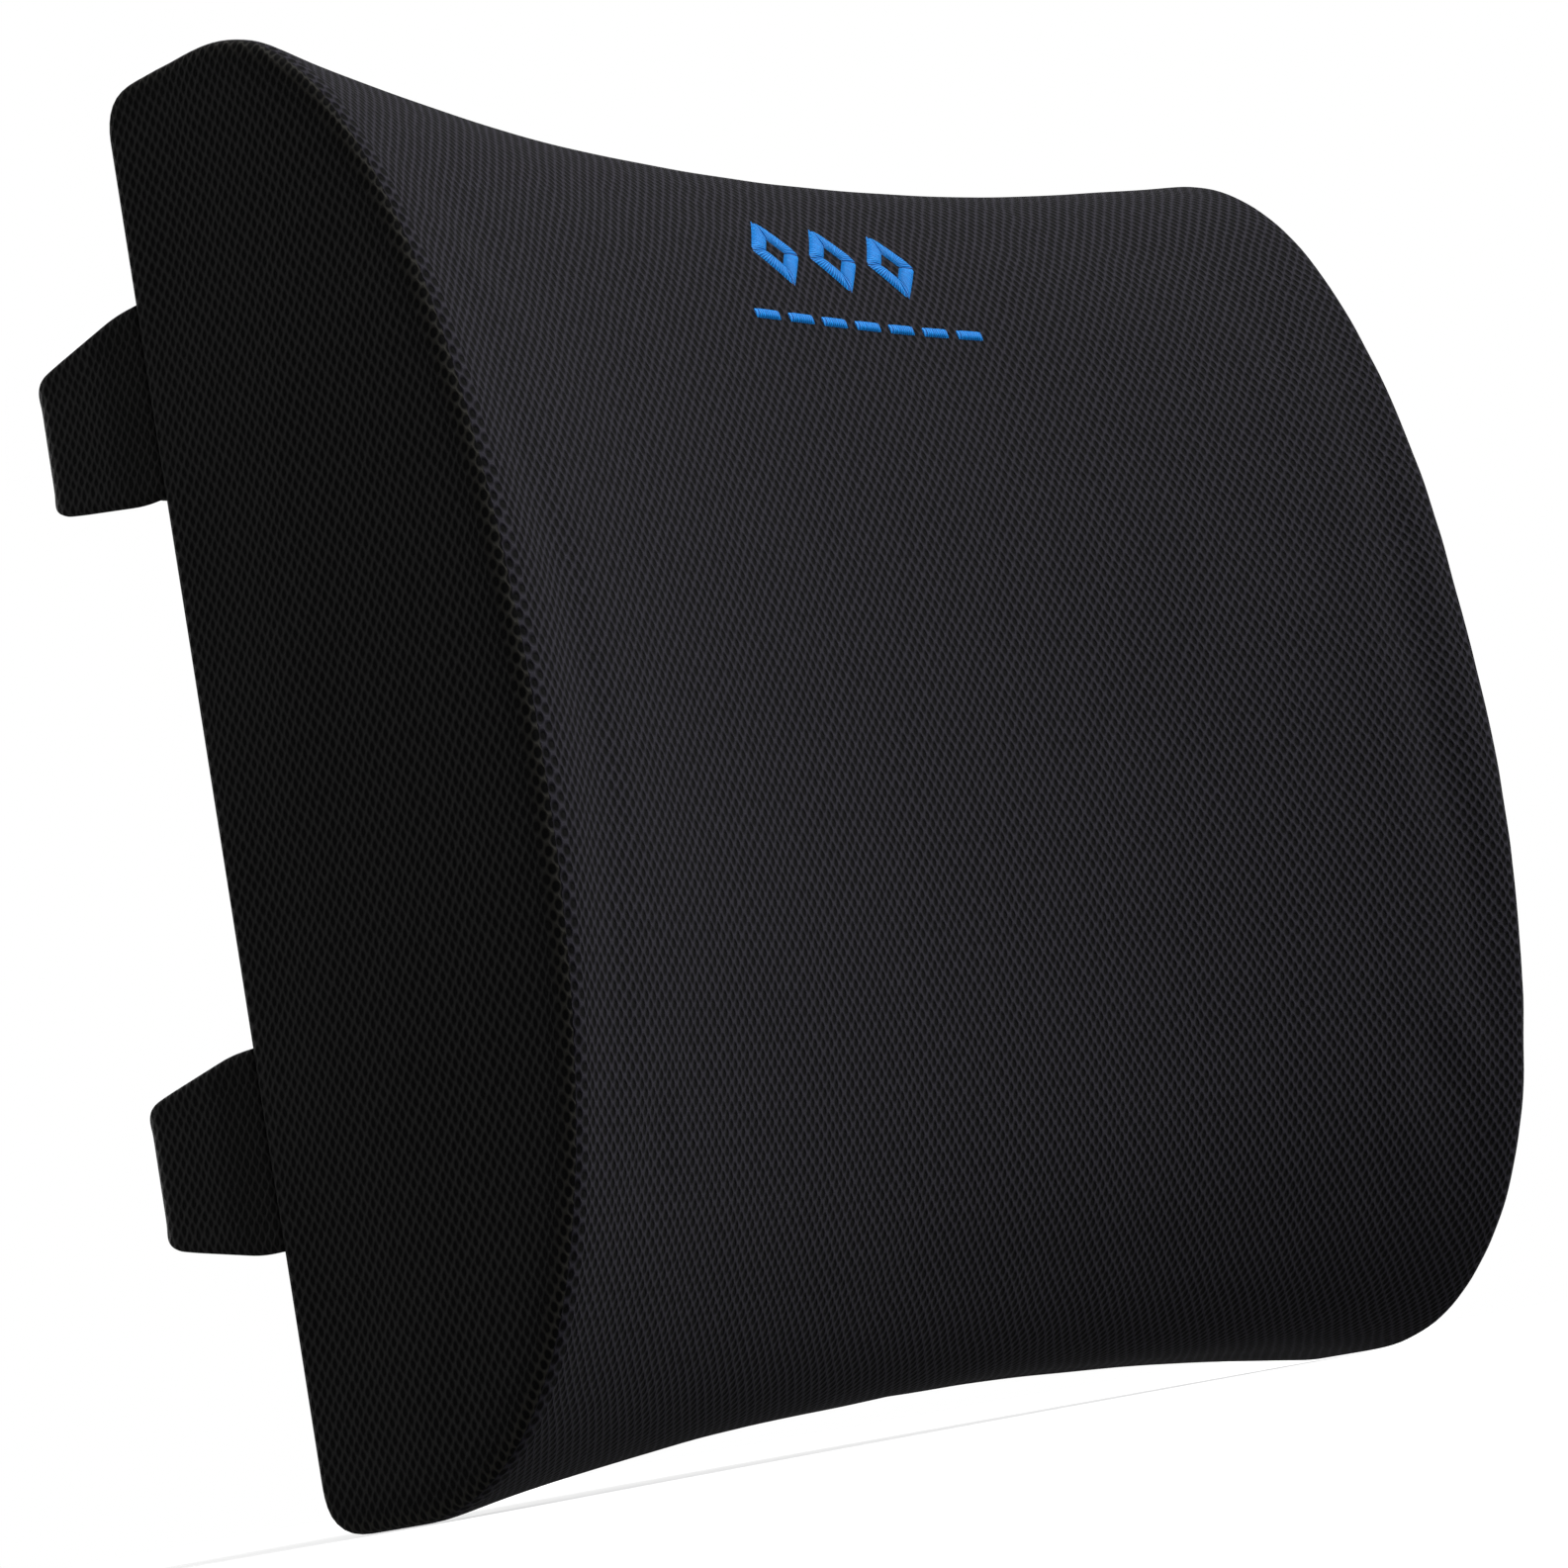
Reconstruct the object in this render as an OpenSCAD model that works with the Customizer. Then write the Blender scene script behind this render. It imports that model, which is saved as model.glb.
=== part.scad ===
// Lumbar support cushion: a scooped foam core in a liner and a zipped mesh cover,
// with two clip-together straps that loop round the back of a chair.
// X runs side to side, the front faces -Y and Z is up. The cushion stands on its bottom edge.

/* [Cushion] */
// Width, side to side
cushion_w = 340; // [320:1:380]
// Height at the two side panels
cushion_h = 320; // [310:1:350]
// Greatest depth of a side panel
cushion_d = 103; // [92:1:125]
// Height at which the side panels are deepest
belly_z = 150; // [135:1:165]
// How far the middle of the front is scooped back, as a share of the depth
front_scoop = 0.28; // [0:0.01:0.32]
// Drop of the top edge at the middle
top_dip = 10.7; // [0:0.1:14]
// Rise of the bottom edge at the middle
bottom_rise = 9.7; // [0:0.1:14]
// Rounding of the seams between the side panels and the front
seam_round = 4; // [3.5:0.5:6]

/* [Cover and core] */
// Thickness of the mesh cover
cover_t = 2.4; // [1.8:0.1:2.8]
// Thickness of the inner liner
liner_t = 0.8; // [0.5:0.1:1]
// Height of the zip across the back panel
zip_z = 36; // [34:1:60]

/* [Straps] */
// Height of the lower strap's middle line
lower_strap_z = 83.5; // [80:0.5:110]
// Height of the upper strap's middle line
upper_strap_z = 249.5; // [220:0.5:255]
// How far the strap stands off behind the back panel
strap_standoff = 42; // [38:0.5:45]
// Width of a tab where it is sewn to the cushion
tab_root_h = 43; // [38:1:46]
// Width of a tab where it turns in behind the cushion
tab_tip_h = 30; // [28:1:31]
// Width of a tab over the webbing
tab_end_h = 22; // [22:0.5:26]
// Width of the webbing
webbing_w = 20; // [18:0.5:21]
// Thickness of the webbing
webbing_t = 1.4; // [1:0.1:1.4]

/* [Buckles] */
// Outside width of a buckle, across the webbing
buckle_w = 28; // [28:0.5:32]
// Thickness of a buckle's socket
buckle_t = 9; // [9:0.5:10]
// Length of a buckle's socket body
socket_l = 28; // [27:0.5:32]

/* [Hidden] */

gap = 0.2;        // between layers that are sewn or lie together
clearance = 0.3;  // between pieces that move past each other
half_w = cushion_w / 2;
skirt_x = half_w - seam_round;       // where the front panel starts to turn into the side seam
panel_x = half_w - cover_t - gap;    // the front panel's own edge
liner_ease = 0.9;                    // room between the cover and the liner
sleeve_x = panel_x - liner_ease - gap;   // the liner sleeve's edge

// Side outline, walked from the back's lower corner round the front to the back's upper corner
bottom_round = 9;    // radius of the back's lower corner
top_round = 9;       // radius of the back's upper corner
flat_d = 30;         // depth of the straight stretch along the top and the bottom
bottom_reach = 45;   // curve handles, along the tangents
belly_reach = 95;
top_reach = 48;
curve_steps = 13;
corner_steps = 4;

// Stations across the width, closer together over the last stretch at each side
span_steps = 16;
seam_steps = [0.35, 0.6, 1];
seam_stretch = 2;

// The layers leave room behind the back panel for the zip
zip_depth = 2.2;
zip_room = cover_t + zip_depth;

function bezier(a, b, c, d, t) =
  a * pow(1 - t, 3) + 3 * b * t * pow(1 - t, 2) + 3 * c * t * t * (1 - t) + d * pow(t, 3);

function arc(centre, r, from, to, steps) =
  [for (i = [0 : steps]) let (a = from + (to - from) * i / steps) centre + r * [cos(a), sin(a)]];

function lower_front(t) = bezier(
  [-flat_d, 0], [-flat_d - bottom_reach, 0], [-cushion_d, belly_z - belly_reach], [-cushion_d, belly_z], t);

function upper_front(t) = bezier(
  [-cushion_d, belly_z], [-cushion_d, belly_z + belly_reach],
  [-flat_d - top_reach, cushion_h], [-flat_d, cushion_h], t);

side_outline = concat(
  arc([-bottom_round, bottom_round], bottom_round, 0, -90, corner_steps),
  [for (i = [0 : curve_steps]) lower_front(i / curve_steps)],
  [for (i = [1 : curve_steps]) upper_front(i / curve_steps)],
  arc([-top_round, cushion_h - top_round], top_round, 90, 0, corner_steps)
);

// The scoop is deepest at the middle and gone where the side seams start
function scoop(x) = max(0, 1 - pow(x / skirt_x, 2));

function dished(p, x) = let (s = scoop(x), up = p[1] / cushion_h)
  [p[0] * (1 - front_scoop * s), p[1] - top_dip * s * up + bottom_rise * s * (1 - up)];

function outline_at(x) = [for (p = side_outline) dished(p, x)];

// How far the surface falls away inside the rounded side seam
function seam_fall(x) = let (past = max(0, abs(x) - skirt_x))
  seam_round - sqrt(max(0, seam_round * seam_round - past * past));

function inset(points, d) = let (n = len(points)) [
  for (i = [0 : n - 1])
    let (along = points[(i + 1) % n] - points[(i + n - 1) % n])
      points[i] + d * [along[1], -along[0]] / norm(along)
];

// The same outline, pressed forwards so that its rearmost point lies at rear
function pressed(points, rear) =
  let (
    depths = [for (p = points) p[0]],
    front = min(depths),
    share = (rear - front) / (max(depths) - front)
  )
    [for (p = points) [front + (p[0] - front) * share, p[1]]];

// One ring of a layer: the outline at x, set in by depth, with its back at back_room behind the back panel
function ring(x, depth, back_room) =
  let (fall = seam_fall(x))
    [for (p = pressed(inset(outline_at(x), depth + fall), -back_room - fall)) [x, p[0], p[1]]];

function stations(end_x) = let (span_x = end_x - seam_stretch) concat(
  [for (i = [len(seam_steps) - 1 : -1 : 0]) -span_x - seam_stretch * seam_steps[i]],
  [for (i = [0 : span_steps]) -span_x + 2 * span_x * i / span_steps],
  [for (s = seam_steps) span_x + seam_stretch * s]
);

function layer(end_x, depth, back_room) =
  [for (x = stations(end_x)) ring(x, depth, back_room)];

function flat_list(rows) = [for (row = rows) each row];

function middle(points) = [
  for (k = [0 : 2])
    let (values = [for (p = points) p[k]])
      (min(values) + max(values)) / 2
];

// Two triangles for a four-cornered patch
function patch(a, b, c, d) = [[a, b, c], [a, c, d]];

// A sheet between an outer and an inner grid. A closed sheet joins its last column to its first.
module sheet(outer, inner, closed) {
  rows = len(outer);
  cols = len(outer[0]);
  base = rows * cols;
  last = closed ? cols - 1 : cols - 2;
  function o(i, j) = i * cols + j % cols;
  function n(i, j) = base + i * cols + j % cols;
  skin = [for (i = [0 : rows - 2]) for (j = [0 : last]) each concat(
    patch(o(i, j), o(i, j + 1), o(i + 1, j + 1), o(i + 1, j)),
    patch(n(i, j), n(i + 1, j), n(i + 1, j + 1), n(i, j + 1))
  )];
  ends = [for (j = [0 : last]) each concat(
    patch(o(0, j + 1), o(0, j), n(0, j), n(0, j + 1)),
    patch(o(rows - 1, j), o(rows - 1, j + 1), n(rows - 1, j + 1), n(rows - 1, j))
  )];
  edges = closed ? [] : [for (i = [0 : rows - 2]) each concat(
    patch(o(i, 0), o(i + 1, 0), n(i + 1, 0), n(i, 0)),
    patch(o(i + 1, cols - 1), o(i, cols - 1), n(i, cols - 1), n(i + 1, cols - 1))
  )];
  polyhedron(concat(flat_list(outer), flat_list(inner)), concat(skin, ends, edges), convexity = 4);
}

// A solid through a stack of rings, closed at each end by a fan round the ring's middle
module loft(rings) {
  rows = len(rings);
  cols = len(rings[0]);
  points = concat(flat_list(rings), [middle(rings[0]), middle(rings[rows - 1])]);
  first = rows * cols;
  final = first + 1;
  function v(i, j) = i * cols + j % cols;
  skin = [for (i = [0 : rows - 2]) for (j = [0 : cols - 1]) each
    patch(v(i, j), v(i, j + 1), v(i + 1, j + 1), v(i + 1, j))];
  ends = [for (j = [0 : cols - 1]) each
    [[v(0, j + 1), v(0, j), first], [v(rows - 1, j), v(rows - 1, j + 1), final]]];
  polyhedron(points, concat(skin, ends), convexity = 4);
}

// A flat plate in the YZ plane, t thick, with its outer face at x and its inner face towards the middle
module upright_plate(points, x, t) {
  side = x > 0 ? 1 : -1;
  translate([side * (abs(x) - t / 2), 0, 0])
    rotate([90, 0, 90])
      linear_extrude(t, center = true)
        polygon(points);
}

// A flat plate whose outline is in the XZ plane, from y = front to y = back
module back_plate(front, back) {
  translate([0, back, 0])
    rotate([90, 0, 0])
      linear_extrude(back - front)
        children();
}

// A flat plate whose outline is in the XY plane, centred on height z
module level_plate(z, t) {
  translate([0, 0, z])
    linear_extrude(t, center = true)
      children();
}

module rounded_rectangle(x0, x1, y0, y1, r) {
  translate([x0 + r, y0])
    square([x1 - x0 - 2 * r, y1 - y0]);
  translate([x0, y0 + r])
    square([x1 - x0, y1 - y0 - 2 * r]);
  for (x = [x0 + r, x1 - r], y = [y0 + r, y1 - r])
    translate([x, y])
      circle(r, $fn = 32);
}

// ---- Frame: the middle of the bottom of the whole object's box is the origin ----

buckle_y = strap_standoff;                     // the buckle's middle plane
loop_step = 2.9;                               // the webbing runs this far in front of it
loop_y = strap_standoff - loop_step;           // the webbing's middle plane
rear_y = buckle_y + buckle_t / 2;              // the rearmost point
frame_y = (cushion_d - rear_y) / 2;

module in_frame() {
  translate([0, frame_y, 0])
    children();
}

// ---- Core and liner ----

liner_depth = cover_t + liner_ease;
foam_depth = liner_depth + liner_t + gap;

module foam_core() {
  color("lemonchiffon")
    loft(layer(sleeve_x - gap, foam_depth, zip_room + liner_t + gap));
}

module liner_sleeve() {
  color("gainsboro")
    sheet(
      layer(sleeve_x, liner_depth, zip_room),
      layer(sleeve_x, liner_depth + liner_t, zip_room + liner_t),
      true
    );
}

module liner_end(side) {
  end_depth = liner_depth + 1.6;
  end_room = zip_room + 1;
  end_x = sleeve_x + gap + liner_t;
  color("gainsboro")
    upright_plate(pressed(inset(side_outline, end_depth), -end_room), side * end_x, liner_t);
}

// ---- Cover ----

module front_panel() {
  color("#28272c")
    sheet(layer(panel_x, 0, 0), layer(panel_x, cover_t, cover_t), false);
}

side_edge = 1.6;   // how far a side panel's edge lies inside the cushion's outline

module side_panel(side) {
  color("#1c1b1f")
    upright_plate(inset(side_outline, side_edge), side * half_w, cover_t);
}

// The flat back, between its curved lower and upper edges
module back_outline() {
  xs = stations(panel_x);
  last = len(side_outline) - 1;
  lower_edge = [for (x = xs) [x, outline_at(x)[0][1] + gap]];
  upper_edge = [for (i = [len(xs) - 1 : -1 : 0]) [xs[i], outline_at(xs[i])[last][1] - gap]];
  polygon(concat(lower_edge, upper_edge));
}

zip_reveal = 7;    // half of the slot that the zip shows in

module back_part(z0, z1) {
  color("#201f23")
    back_plate(-cover_t, 0)
      intersection() {
        back_outline();
        translate([-half_w, z0])
          square([cushion_w, z1 - z0]);
      }
}

// ---- Zip, closed, with its slider at the +X end ----

tape_t = 0.5;
tape_h = 14;
tape_top = -cover_t - gap;
teeth_t = 2;
teeth_h = 2.4;
zip_split = 0.55;                    // half of the slot between the two rows of teeth
tape_margin = 5;                     // from the cushion's side to the end of the tape
teeth_margin = 15;                   // and to the end of the teeth
tape_x = half_w - tape_margin;
teeth_x = half_w - teeth_margin;
teeth_lift = 0.1;
teeth_floor = tape_top + teeth_lift;
stop_l = 3;
slider_l = 13;
slider_h = 10;
slider_rest = 9;                     // from the end of the teeth to the slider's middle
slider_x = teeth_x - slider_rest;
plate_t = 1.1;
plate_floor = teeth_floor + teeth_t + clearance;
plate_top = plate_floor + plate_t;
pull_r = 0.8;
pull_rise = 1.2;                     // the pull's axis lies this far above the top plate
pull_y = plate_top + pull_rise;
pull_l = 28;

module zip_tape(side) {
  color("#141416")
    back_plate(tape_top - tape_t, tape_top)
      translate([-tape_x, side > 0 ? zip_z + zip_split : zip_z - zip_split - tape_h])
        square([2 * tape_x, tape_h]);
}

module zip_teeth(side) {
  color("#0e0e10")
    back_plate(teeth_floor, teeth_floor + teeth_t)
      translate([-teeth_x, side > 0 ? zip_z + zip_split : zip_z - zip_split - teeth_h])
        square([2 * teeth_x, teeth_h]);
}

module zip_top_stops() {
  color("dimgray")
    for (side = [-1, 1])
      back_plate(teeth_floor, teeth_floor + teeth_t)
        translate([teeth_x + gap, zip_z + side * (zip_split + teeth_h / 2) - teeth_h / 2])
          square([stop_l, teeth_h]);
}

module zip_bottom_stop() {
  stop_h = 2 * (zip_split + teeth_h);
  color("dimgray")
    back_plate(teeth_floor, teeth_floor + teeth_t)
      translate([-teeth_x - gap - stop_l, zip_z - stop_h / 2])
        square([stop_l, stop_h]);
}

module zip_slider() {
  half = slider_l / 2;
  under = tape_top - tape_t - clearance;
  under_t = 0.8;
  under_half = half - 1;
  under_h = slider_h - 1.4;
  bridge_w = 2.2;
  bridge_leg = 1.2;
  bridge_out = 4.2;
  bridge_floor = pull_y + pull_r + clearance;
  bridge_t = 1;
  divider_w = 0.5;
  divider_l = 3;
  divider_back = 1.5;
  color("#2b2b2e")
    translate([slider_x, 0, zip_z]) {
      back_plate(plate_floor, plate_top)
        rounded_rectangle(-half, half, -slider_h / 2, slider_h / 2, 2.5);
      back_plate(under - under_t, under)
        rounded_rectangle(-under_half, under_half, -under_h / 2, under_h / 2, 2);
      back_plate(under - under_t, plate_top)
        translate([half - divider_back - divider_l, -divider_w / 2])
          square([divider_l, divider_w]);
      for (x = [-bridge_out, bridge_out - bridge_leg])
        back_plate(plate_floor, bridge_floor + bridge_t)
          translate([x, -bridge_w / 2])
            square([bridge_leg, bridge_w]);
      back_plate(bridge_floor, bridge_floor + bridge_t)
        translate([-bridge_out, -bridge_w / 2])
          square([2 * bridge_out, bridge_w]);
    }
}

// The pull lies over the closed teeth, towards -X, and turns about its upright bar
module zip_pull() {
  pull_w = 6.4;
  pull_t = 1.4;
  window_l = 6.5;
  window_w = 3;
  hole_r = 1.3;
  hole_inset = 4;
  corner_r = 0.4;
  color("#2b2b2e")
    translate([slider_x, pull_y, zip_z]) {
      cylinder(r = pull_r, h = pull_w, center = true, $fn = 32);
      back_plate(-pull_t / 2, pull_t / 2)
        difference() {
          rounded_rectangle(-pull_l, 0, -pull_w / 2, pull_w / 2, corner_r);
          translate([-window_l, -window_w / 2])
            square([window_l + 1, window_w]);
          translate([hole_inset - pull_l, 0])
            circle(hole_r, $fn = 32);
        }
    }
}

// ---- Embroidered motif: three open lozenges over a dashed line ----

motif_z = 278;
lozenge_w = 17;
lozenge_h = 20;
lozenge_step = 20.5;
lozenge_open = 0.4;       // size of its opening, as a share of its own
dash_l = 9;
dash_h = 2.6;
dash_step = 12;
dash_drop = 19;
motif_lift = 0.5;
motif_t = 0.7;

// The share along the upper front curve at which it reaches height z
function share_at(z, low, high, steps) =
  let (mid = (low + high) / 2)
    steps == 0 ? mid
    : upper_front(mid)[1] < z ? share_at(z, mid, high, steps - 1)
    : share_at(z, low, mid, steps - 1);

function front_y(x, z) =
  let (
    s = scoop(x),
    rise = bottom_rise * s,
    level = (z - rise) / (1 - (top_dip * s + rise) / cushion_h)
  )
    upper_front(share_at(level, 0, 1, 24))[0] * (1 - front_scoop * s);

function on_front(p, lift) = [p[0], front_y(p[0], p[1]) - lift, p[1]];

// A thin stitched patch with the given corners, listed clockwise as seen from the front
module stitched(corners, centre) {
  n = len(corners);
  outline = concat(corners, [centre]);
  top = [for (p = outline) on_front(p, motif_lift + motif_t)];
  base = [for (p = outline) on_front(p, motif_lift)];
  faces = [for (i = [0 : n - 1]) let (k = (i + 1) % n) each concat(
    [[i, k, n]],
    [[k + n + 1, i + n + 1, 2 * n + 1]],
    patch(k, i, i + n + 1, k + n + 1)
  )];
  polyhedron(concat(top, base), faces);
}

// The same, open in the middle
module stitched_frame(corners, centre) {
  n = len(corners);
  outline = concat(corners, [for (p = corners) centre + (p - centre) * lozenge_open]);
  top = [for (p = outline) on_front(p, motif_lift + motif_t)];
  base = [for (p = outline) on_front(p, motif_lift)];
  m = 2 * n;
  faces = [for (i = [0 : n - 1]) let (k = (i + 1) % n) each concat(
    patch(i, k, n + k, n + i),
    patch(m + k, m + i, m + n + i, m + n + k),
    patch(k, i, m + i, m + k),
    patch(n + i, n + k, m + n + k, m + n + i)
  )];
  polyhedron(concat(top, base), faces, convexity = 4);
}

module emblem() {
  color("dodgerblue") {
    for (i = [-1 : 1]) {
      c = [i * lozenge_step, motif_z];
      stitched_frame([
        c + [0, lozenge_h / 2], c + [lozenge_w / 2, 0],
        c - [0, lozenge_h / 2], c - [lozenge_w / 2, 0]
      ], c);
    }
    for (i = [-3 : 3]) {
      c = [i * dash_step, motif_z - dash_drop];
      stitched([
        c + [-dash_l, dash_h] / 2, c + [dash_l, dash_h] / 2,
        c + [dash_l, -dash_h] / 2, c + [-dash_l, -dash_h] / 2
      ], c);
    }
  }
}

// ---- Strap tabs: mesh, sewn at the back edge, bending about an X axis at sway_y ----

tab_inset = 0.4;                      // from the cushion's side to a tab's outer face
tab_t = min(2, cover_t - tab_inset);  // no deeper than the side panel, so it clears the back panel
tab_outer_x = half_w - tab_inset;
tab_bend_r = 8;
tab_reach = 30;                       // how far a tab reaches in behind the cushion
tab_end_x = half_w - tab_reach;
sway_y = 21;
taper_past = 3;                       // the taper ends this far behind the bend
knuckle_r = tab_tip_h / 2;
root_gap = 0.15;
root_start = root_gap - side_edge;    // sewn in behind the side panel's edge
root_end = 11;

// Half the tab's height at depth y, tapering from the seam to the far end
function tab_half(y) =
  let (share = (y - root_start) / (sway_y + taper_past - root_start))
    (tab_root_h + (tab_tip_h - tab_root_h) * share) / 2;

module tab_root(side, z) {
  color("#232226")
    translate([0, 0, z])
      difference() {
        upright_plate([
          [root_start, -tab_half(root_start)], [root_end, -tab_half(root_end)],
          [root_end, tab_half(root_end)], [root_start, tab_half(root_start)]
        ], side * tab_outer_x, tab_t);
        translate([0, sway_y, 0])
          rotate([0, 90, 0])
            cylinder(r = knuckle_r + clearance, h = 2 * cushion_w, center = true, $fn = 64);
      }
}

// The strap's path from the side, round its corner and in behind the cushion
module tab_path(side) {
  corner = [tab_outer_x - tab_bend_r, strap_standoff - tab_bend_r];
  mirror([side > 0 ? 0 : 1, 0]) {
    translate([tab_outer_x - tab_t, 0])
      square([tab_t, corner[1]]);
    translate([tab_end_x, strap_standoff - tab_t])
      square([corner[0] - tab_end_x, tab_t]);
    intersection() {
      translate(corner)
        difference() {
          circle(tab_bend_r, $fn = 48);
          circle(tab_bend_r - tab_t, $fn = 48);
        }
      translate(corner)
        square(tab_bend_r + 1);
    }
  }
}

module tab(side, z) {
  bend_y = strap_standoff - tab_bend_r;
  narrow_y = strap_standoff - tab_t;
  rear = strap_standoff + 1;
  color("#232226")
    intersection() {
      level_plate(z, tab_root_h)
        tab_path(side);
      union() {
        translate([0, sway_y, z])
          rotate([0, 90, 0])
            cylinder(r = knuckle_r, h = 2 * cushion_w, center = true, $fn = 64);
        translate([0, 0, z])
          rotate([90, 0, 90])
            linear_extrude(2 * cushion_w, center = true)
              polygon([
                [sway_y, -tab_tip_h / 2], [bend_y, -tab_tip_h / 2], [narrow_y, -tab_end_h / 2],
                [rear, -tab_end_h / 2], [rear, tab_end_h / 2], [narrow_y, tab_end_h / 2],
                [bend_y, tab_tip_h / 2], [sway_y, tab_tip_h / 2]
              ]);
      }
    }
}

// ---- Buckle and webbing, laid out along X about the middle of the strap ----

mouth_x = 9;                          // the socket's open end
socket_x = mouth_x - socket_l;
side_wall = 4;
cavity_h = buckle_w - 2 * side_wall;
cavity_t = 4.2;
rail_t = 4.4;                         // the rails that carry the socket's webbing bar
rail_w = 3;
bar_r = 2.2;
bar_reach = 8;
bar_x = socket_x - bar_reach;
plug_t = 3.8;
plug_l = 19;
plug_gap = 1.1;
plug_x = mouth_x + plug_gap;
plug_end = plug_x + plug_l;
plug_rim = 4;
prong_w = 3.5;
prong_l = 21;
prong_pivot_x = mouth_x - 1;
prong_z = cavity_h / 2 - clearance - prong_w / 2;
ladder_r = 1.7;
ladder_in = 9.4;
ladder_x = plug_x + ladder_in;
ring_gap = 0.3;                       // webbing stands off a bar by this
webbing_lap = 18;                     // length of webbing sewn inside a tab
tail_end = 84;

module strap_part(z) {
  translate([0, buckle_y, z])
    children();
}

module buckle_socket(z) {
  end_wall = 3;
  window_end = 9;      // the side windows for the prongs end this far inside the mouth
  window_l = 11;
  rail_lap = 1;
  color("#111113")
    strap_part(z) {
      difference() {
        back_plate(-buckle_t / 2, buckle_t / 2)
          rounded_rectangle(socket_x, mouth_x, -buckle_w / 2, buckle_w / 2, 3.5);
        translate([socket_x + end_wall, -cavity_t / 2, -cavity_h / 2])
          cube([socket_l, cavity_t, cavity_h]);
        translate([mouth_x - window_end - window_l, -cavity_t / 2, -buckle_w])
          cube([window_l, cavity_t, 2 * buckle_w]);
      }
      for (side = [-1, 1])
        back_plate(-rail_t / 2, rail_t / 2)
          translate([bar_x, side * (buckle_w - rail_w) / 2 - rail_w / 2])
            square([bar_reach + rail_lap, rail_w]);
      translate([bar_x, 0, 0])
        cylinder(r = bar_r, h = buckle_w, center = true, $fn = 48);
    }
}

module buckle_plug(z) {
  tongue_w = 5;
  tongue_l = 16;
  tongue_lap = 1;
  slot_l = 12;
  slot_h = webbing_w + 2;
  color("#111113")
    strap_part(z) {
      back_plate(-plug_t / 2, plug_t / 2)
        difference() {
          rounded_rectangle(plug_x, plug_end, -buckle_w / 2, buckle_w / 2, 2);
          translate([plug_x + plug_rim, -slot_h / 2])
            square([slot_l, slot_h]);
        }
      back_plate(-plug_t / 2, plug_t / 2)
        translate([plug_x + tongue_lap - tongue_l, -tongue_w / 2])
          square([tongue_l, tongue_w]);
      translate([ladder_x, 0, 0])
        cylinder(r = ladder_r, h = slot_h + plug_rim, center = true, $fn = 48);
    }
}

// A sprung prong with round ends, turning about the middle of its root
module prong(side, z) {
  color("#111113")
    strap_part(z)
      back_plate(-plug_t / 2, plug_t / 2)
        translate([prong_pivot_x, side * prong_z]) {
          circle(prong_w / 2, $fn = 48);
          translate([-prong_l, -prong_w / 2])
            square([prong_l, prong_w]);
          translate([-prong_l, 0])
            circle(prong_w / 2, $fn = 48);
        }
}

// Sewn webbing: along the loop, across to the buckle's plane and round the socket's bar
module fixed_webbing(z) {
  ring_r = bar_r + ring_gap;
  splice_l = 16;
  splice_half = 1.16;
  ramp_l = 28;
  closed_l = 4;        // the two layers lie together over this length
  join_x = bar_x - splice_l;
  lead_x = join_x - ramp_l;
  start_x = -tab_end_x - webbing_lap;
  color("#17171a")
    level_plate(z, webbing_w) {
      polygon([
        [start_x, loop_y - webbing_t / 2], [lead_x, loop_y - webbing_t / 2],
        [join_x, buckle_y - webbing_t / 2], [join_x, buckle_y + webbing_t / 2],
        [lead_x, loop_y + webbing_t / 2], [start_x, loop_y + webbing_t / 2]
      ]);
      translate([0, buckle_y])
        difference() {
          polygon(concat(arc([bar_x, 0], ring_r + webbing_t, -90, 90, 16),
            [[join_x, splice_half], [join_x, -splice_half]]));
          polygon(concat(arc([bar_x, 0], ring_r, -90, 90, 16),
            [[join_x + closed_l, 0]]));
        }
    }
}

// The run that the plug slides along
module adjuster_webbing(z) {
  run_past = 3.5;      // the run reaches this far past the ladder bar
  start_x = ladder_x - run_past;
  end_x = tab_end_x + webbing_lap;
  color("#17171a")
    level_plate(z, webbing_w)
      translate([start_x, loop_y - webbing_t / 2])
        square([end_x - start_x, webbing_t]);
}

// Round the ladder bar and back along the outside
module webbing_tail(z) {
  ring_r = plug_t / 2 + 0.1;
  outer_r = ring_r + webbing_t;
  foot_y = loop_y + webbing_t / 2 + clearance;
  color("#17171a")
    level_plate(z, webbing_w)
      translate([ladder_x, buckle_y]) {
        translate([0, ring_r])
          square([tail_end - ladder_x, webbing_t]);
        intersection() {
          difference() {
            circle(outer_r, $fn = 48);
            circle(ring_r, $fn = 48);
          }
          translate([-outer_r, 0])
            square(outer_r);
        }
        translate([-outer_r, foot_y - buckle_y])
          square([webbing_t, buckle_y - foot_y]);
      }
}

in_frame() foam_core();
in_frame() liner_sleeve();
in_frame() liner_end(-1);  // liner_left_end
in_frame() liner_end(1);  // liner_right_end
in_frame() front_panel();
in_frame() side_panel(-1);  // left_side_panel
in_frame() side_panel(1);  // right_side_panel
in_frame() back_part(zip_z + zip_reveal, cushion_h);  // back_panel
in_frame() back_part(0, zip_z - zip_reveal);  // lower_back_panel
in_frame() zip_tape(1);  // zip_tape_upper
in_frame() zip_tape(-1);  // zip_tape_lower
in_frame() zip_teeth(1);  // zip_teeth_upper
in_frame() zip_teeth(-1);  // zip_teeth_lower
in_frame() zip_top_stops();
in_frame() zip_bottom_stop();
in_frame() zip_slider();
in_frame() zip_pull();
in_frame() emblem();
in_frame() tab_root(-1, upper_strap_z);  // upper_left_tab_root
in_frame() tab_root(1, upper_strap_z);  // upper_right_tab_root
in_frame() tab_root(-1, lower_strap_z);  // lower_left_tab_root
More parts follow.
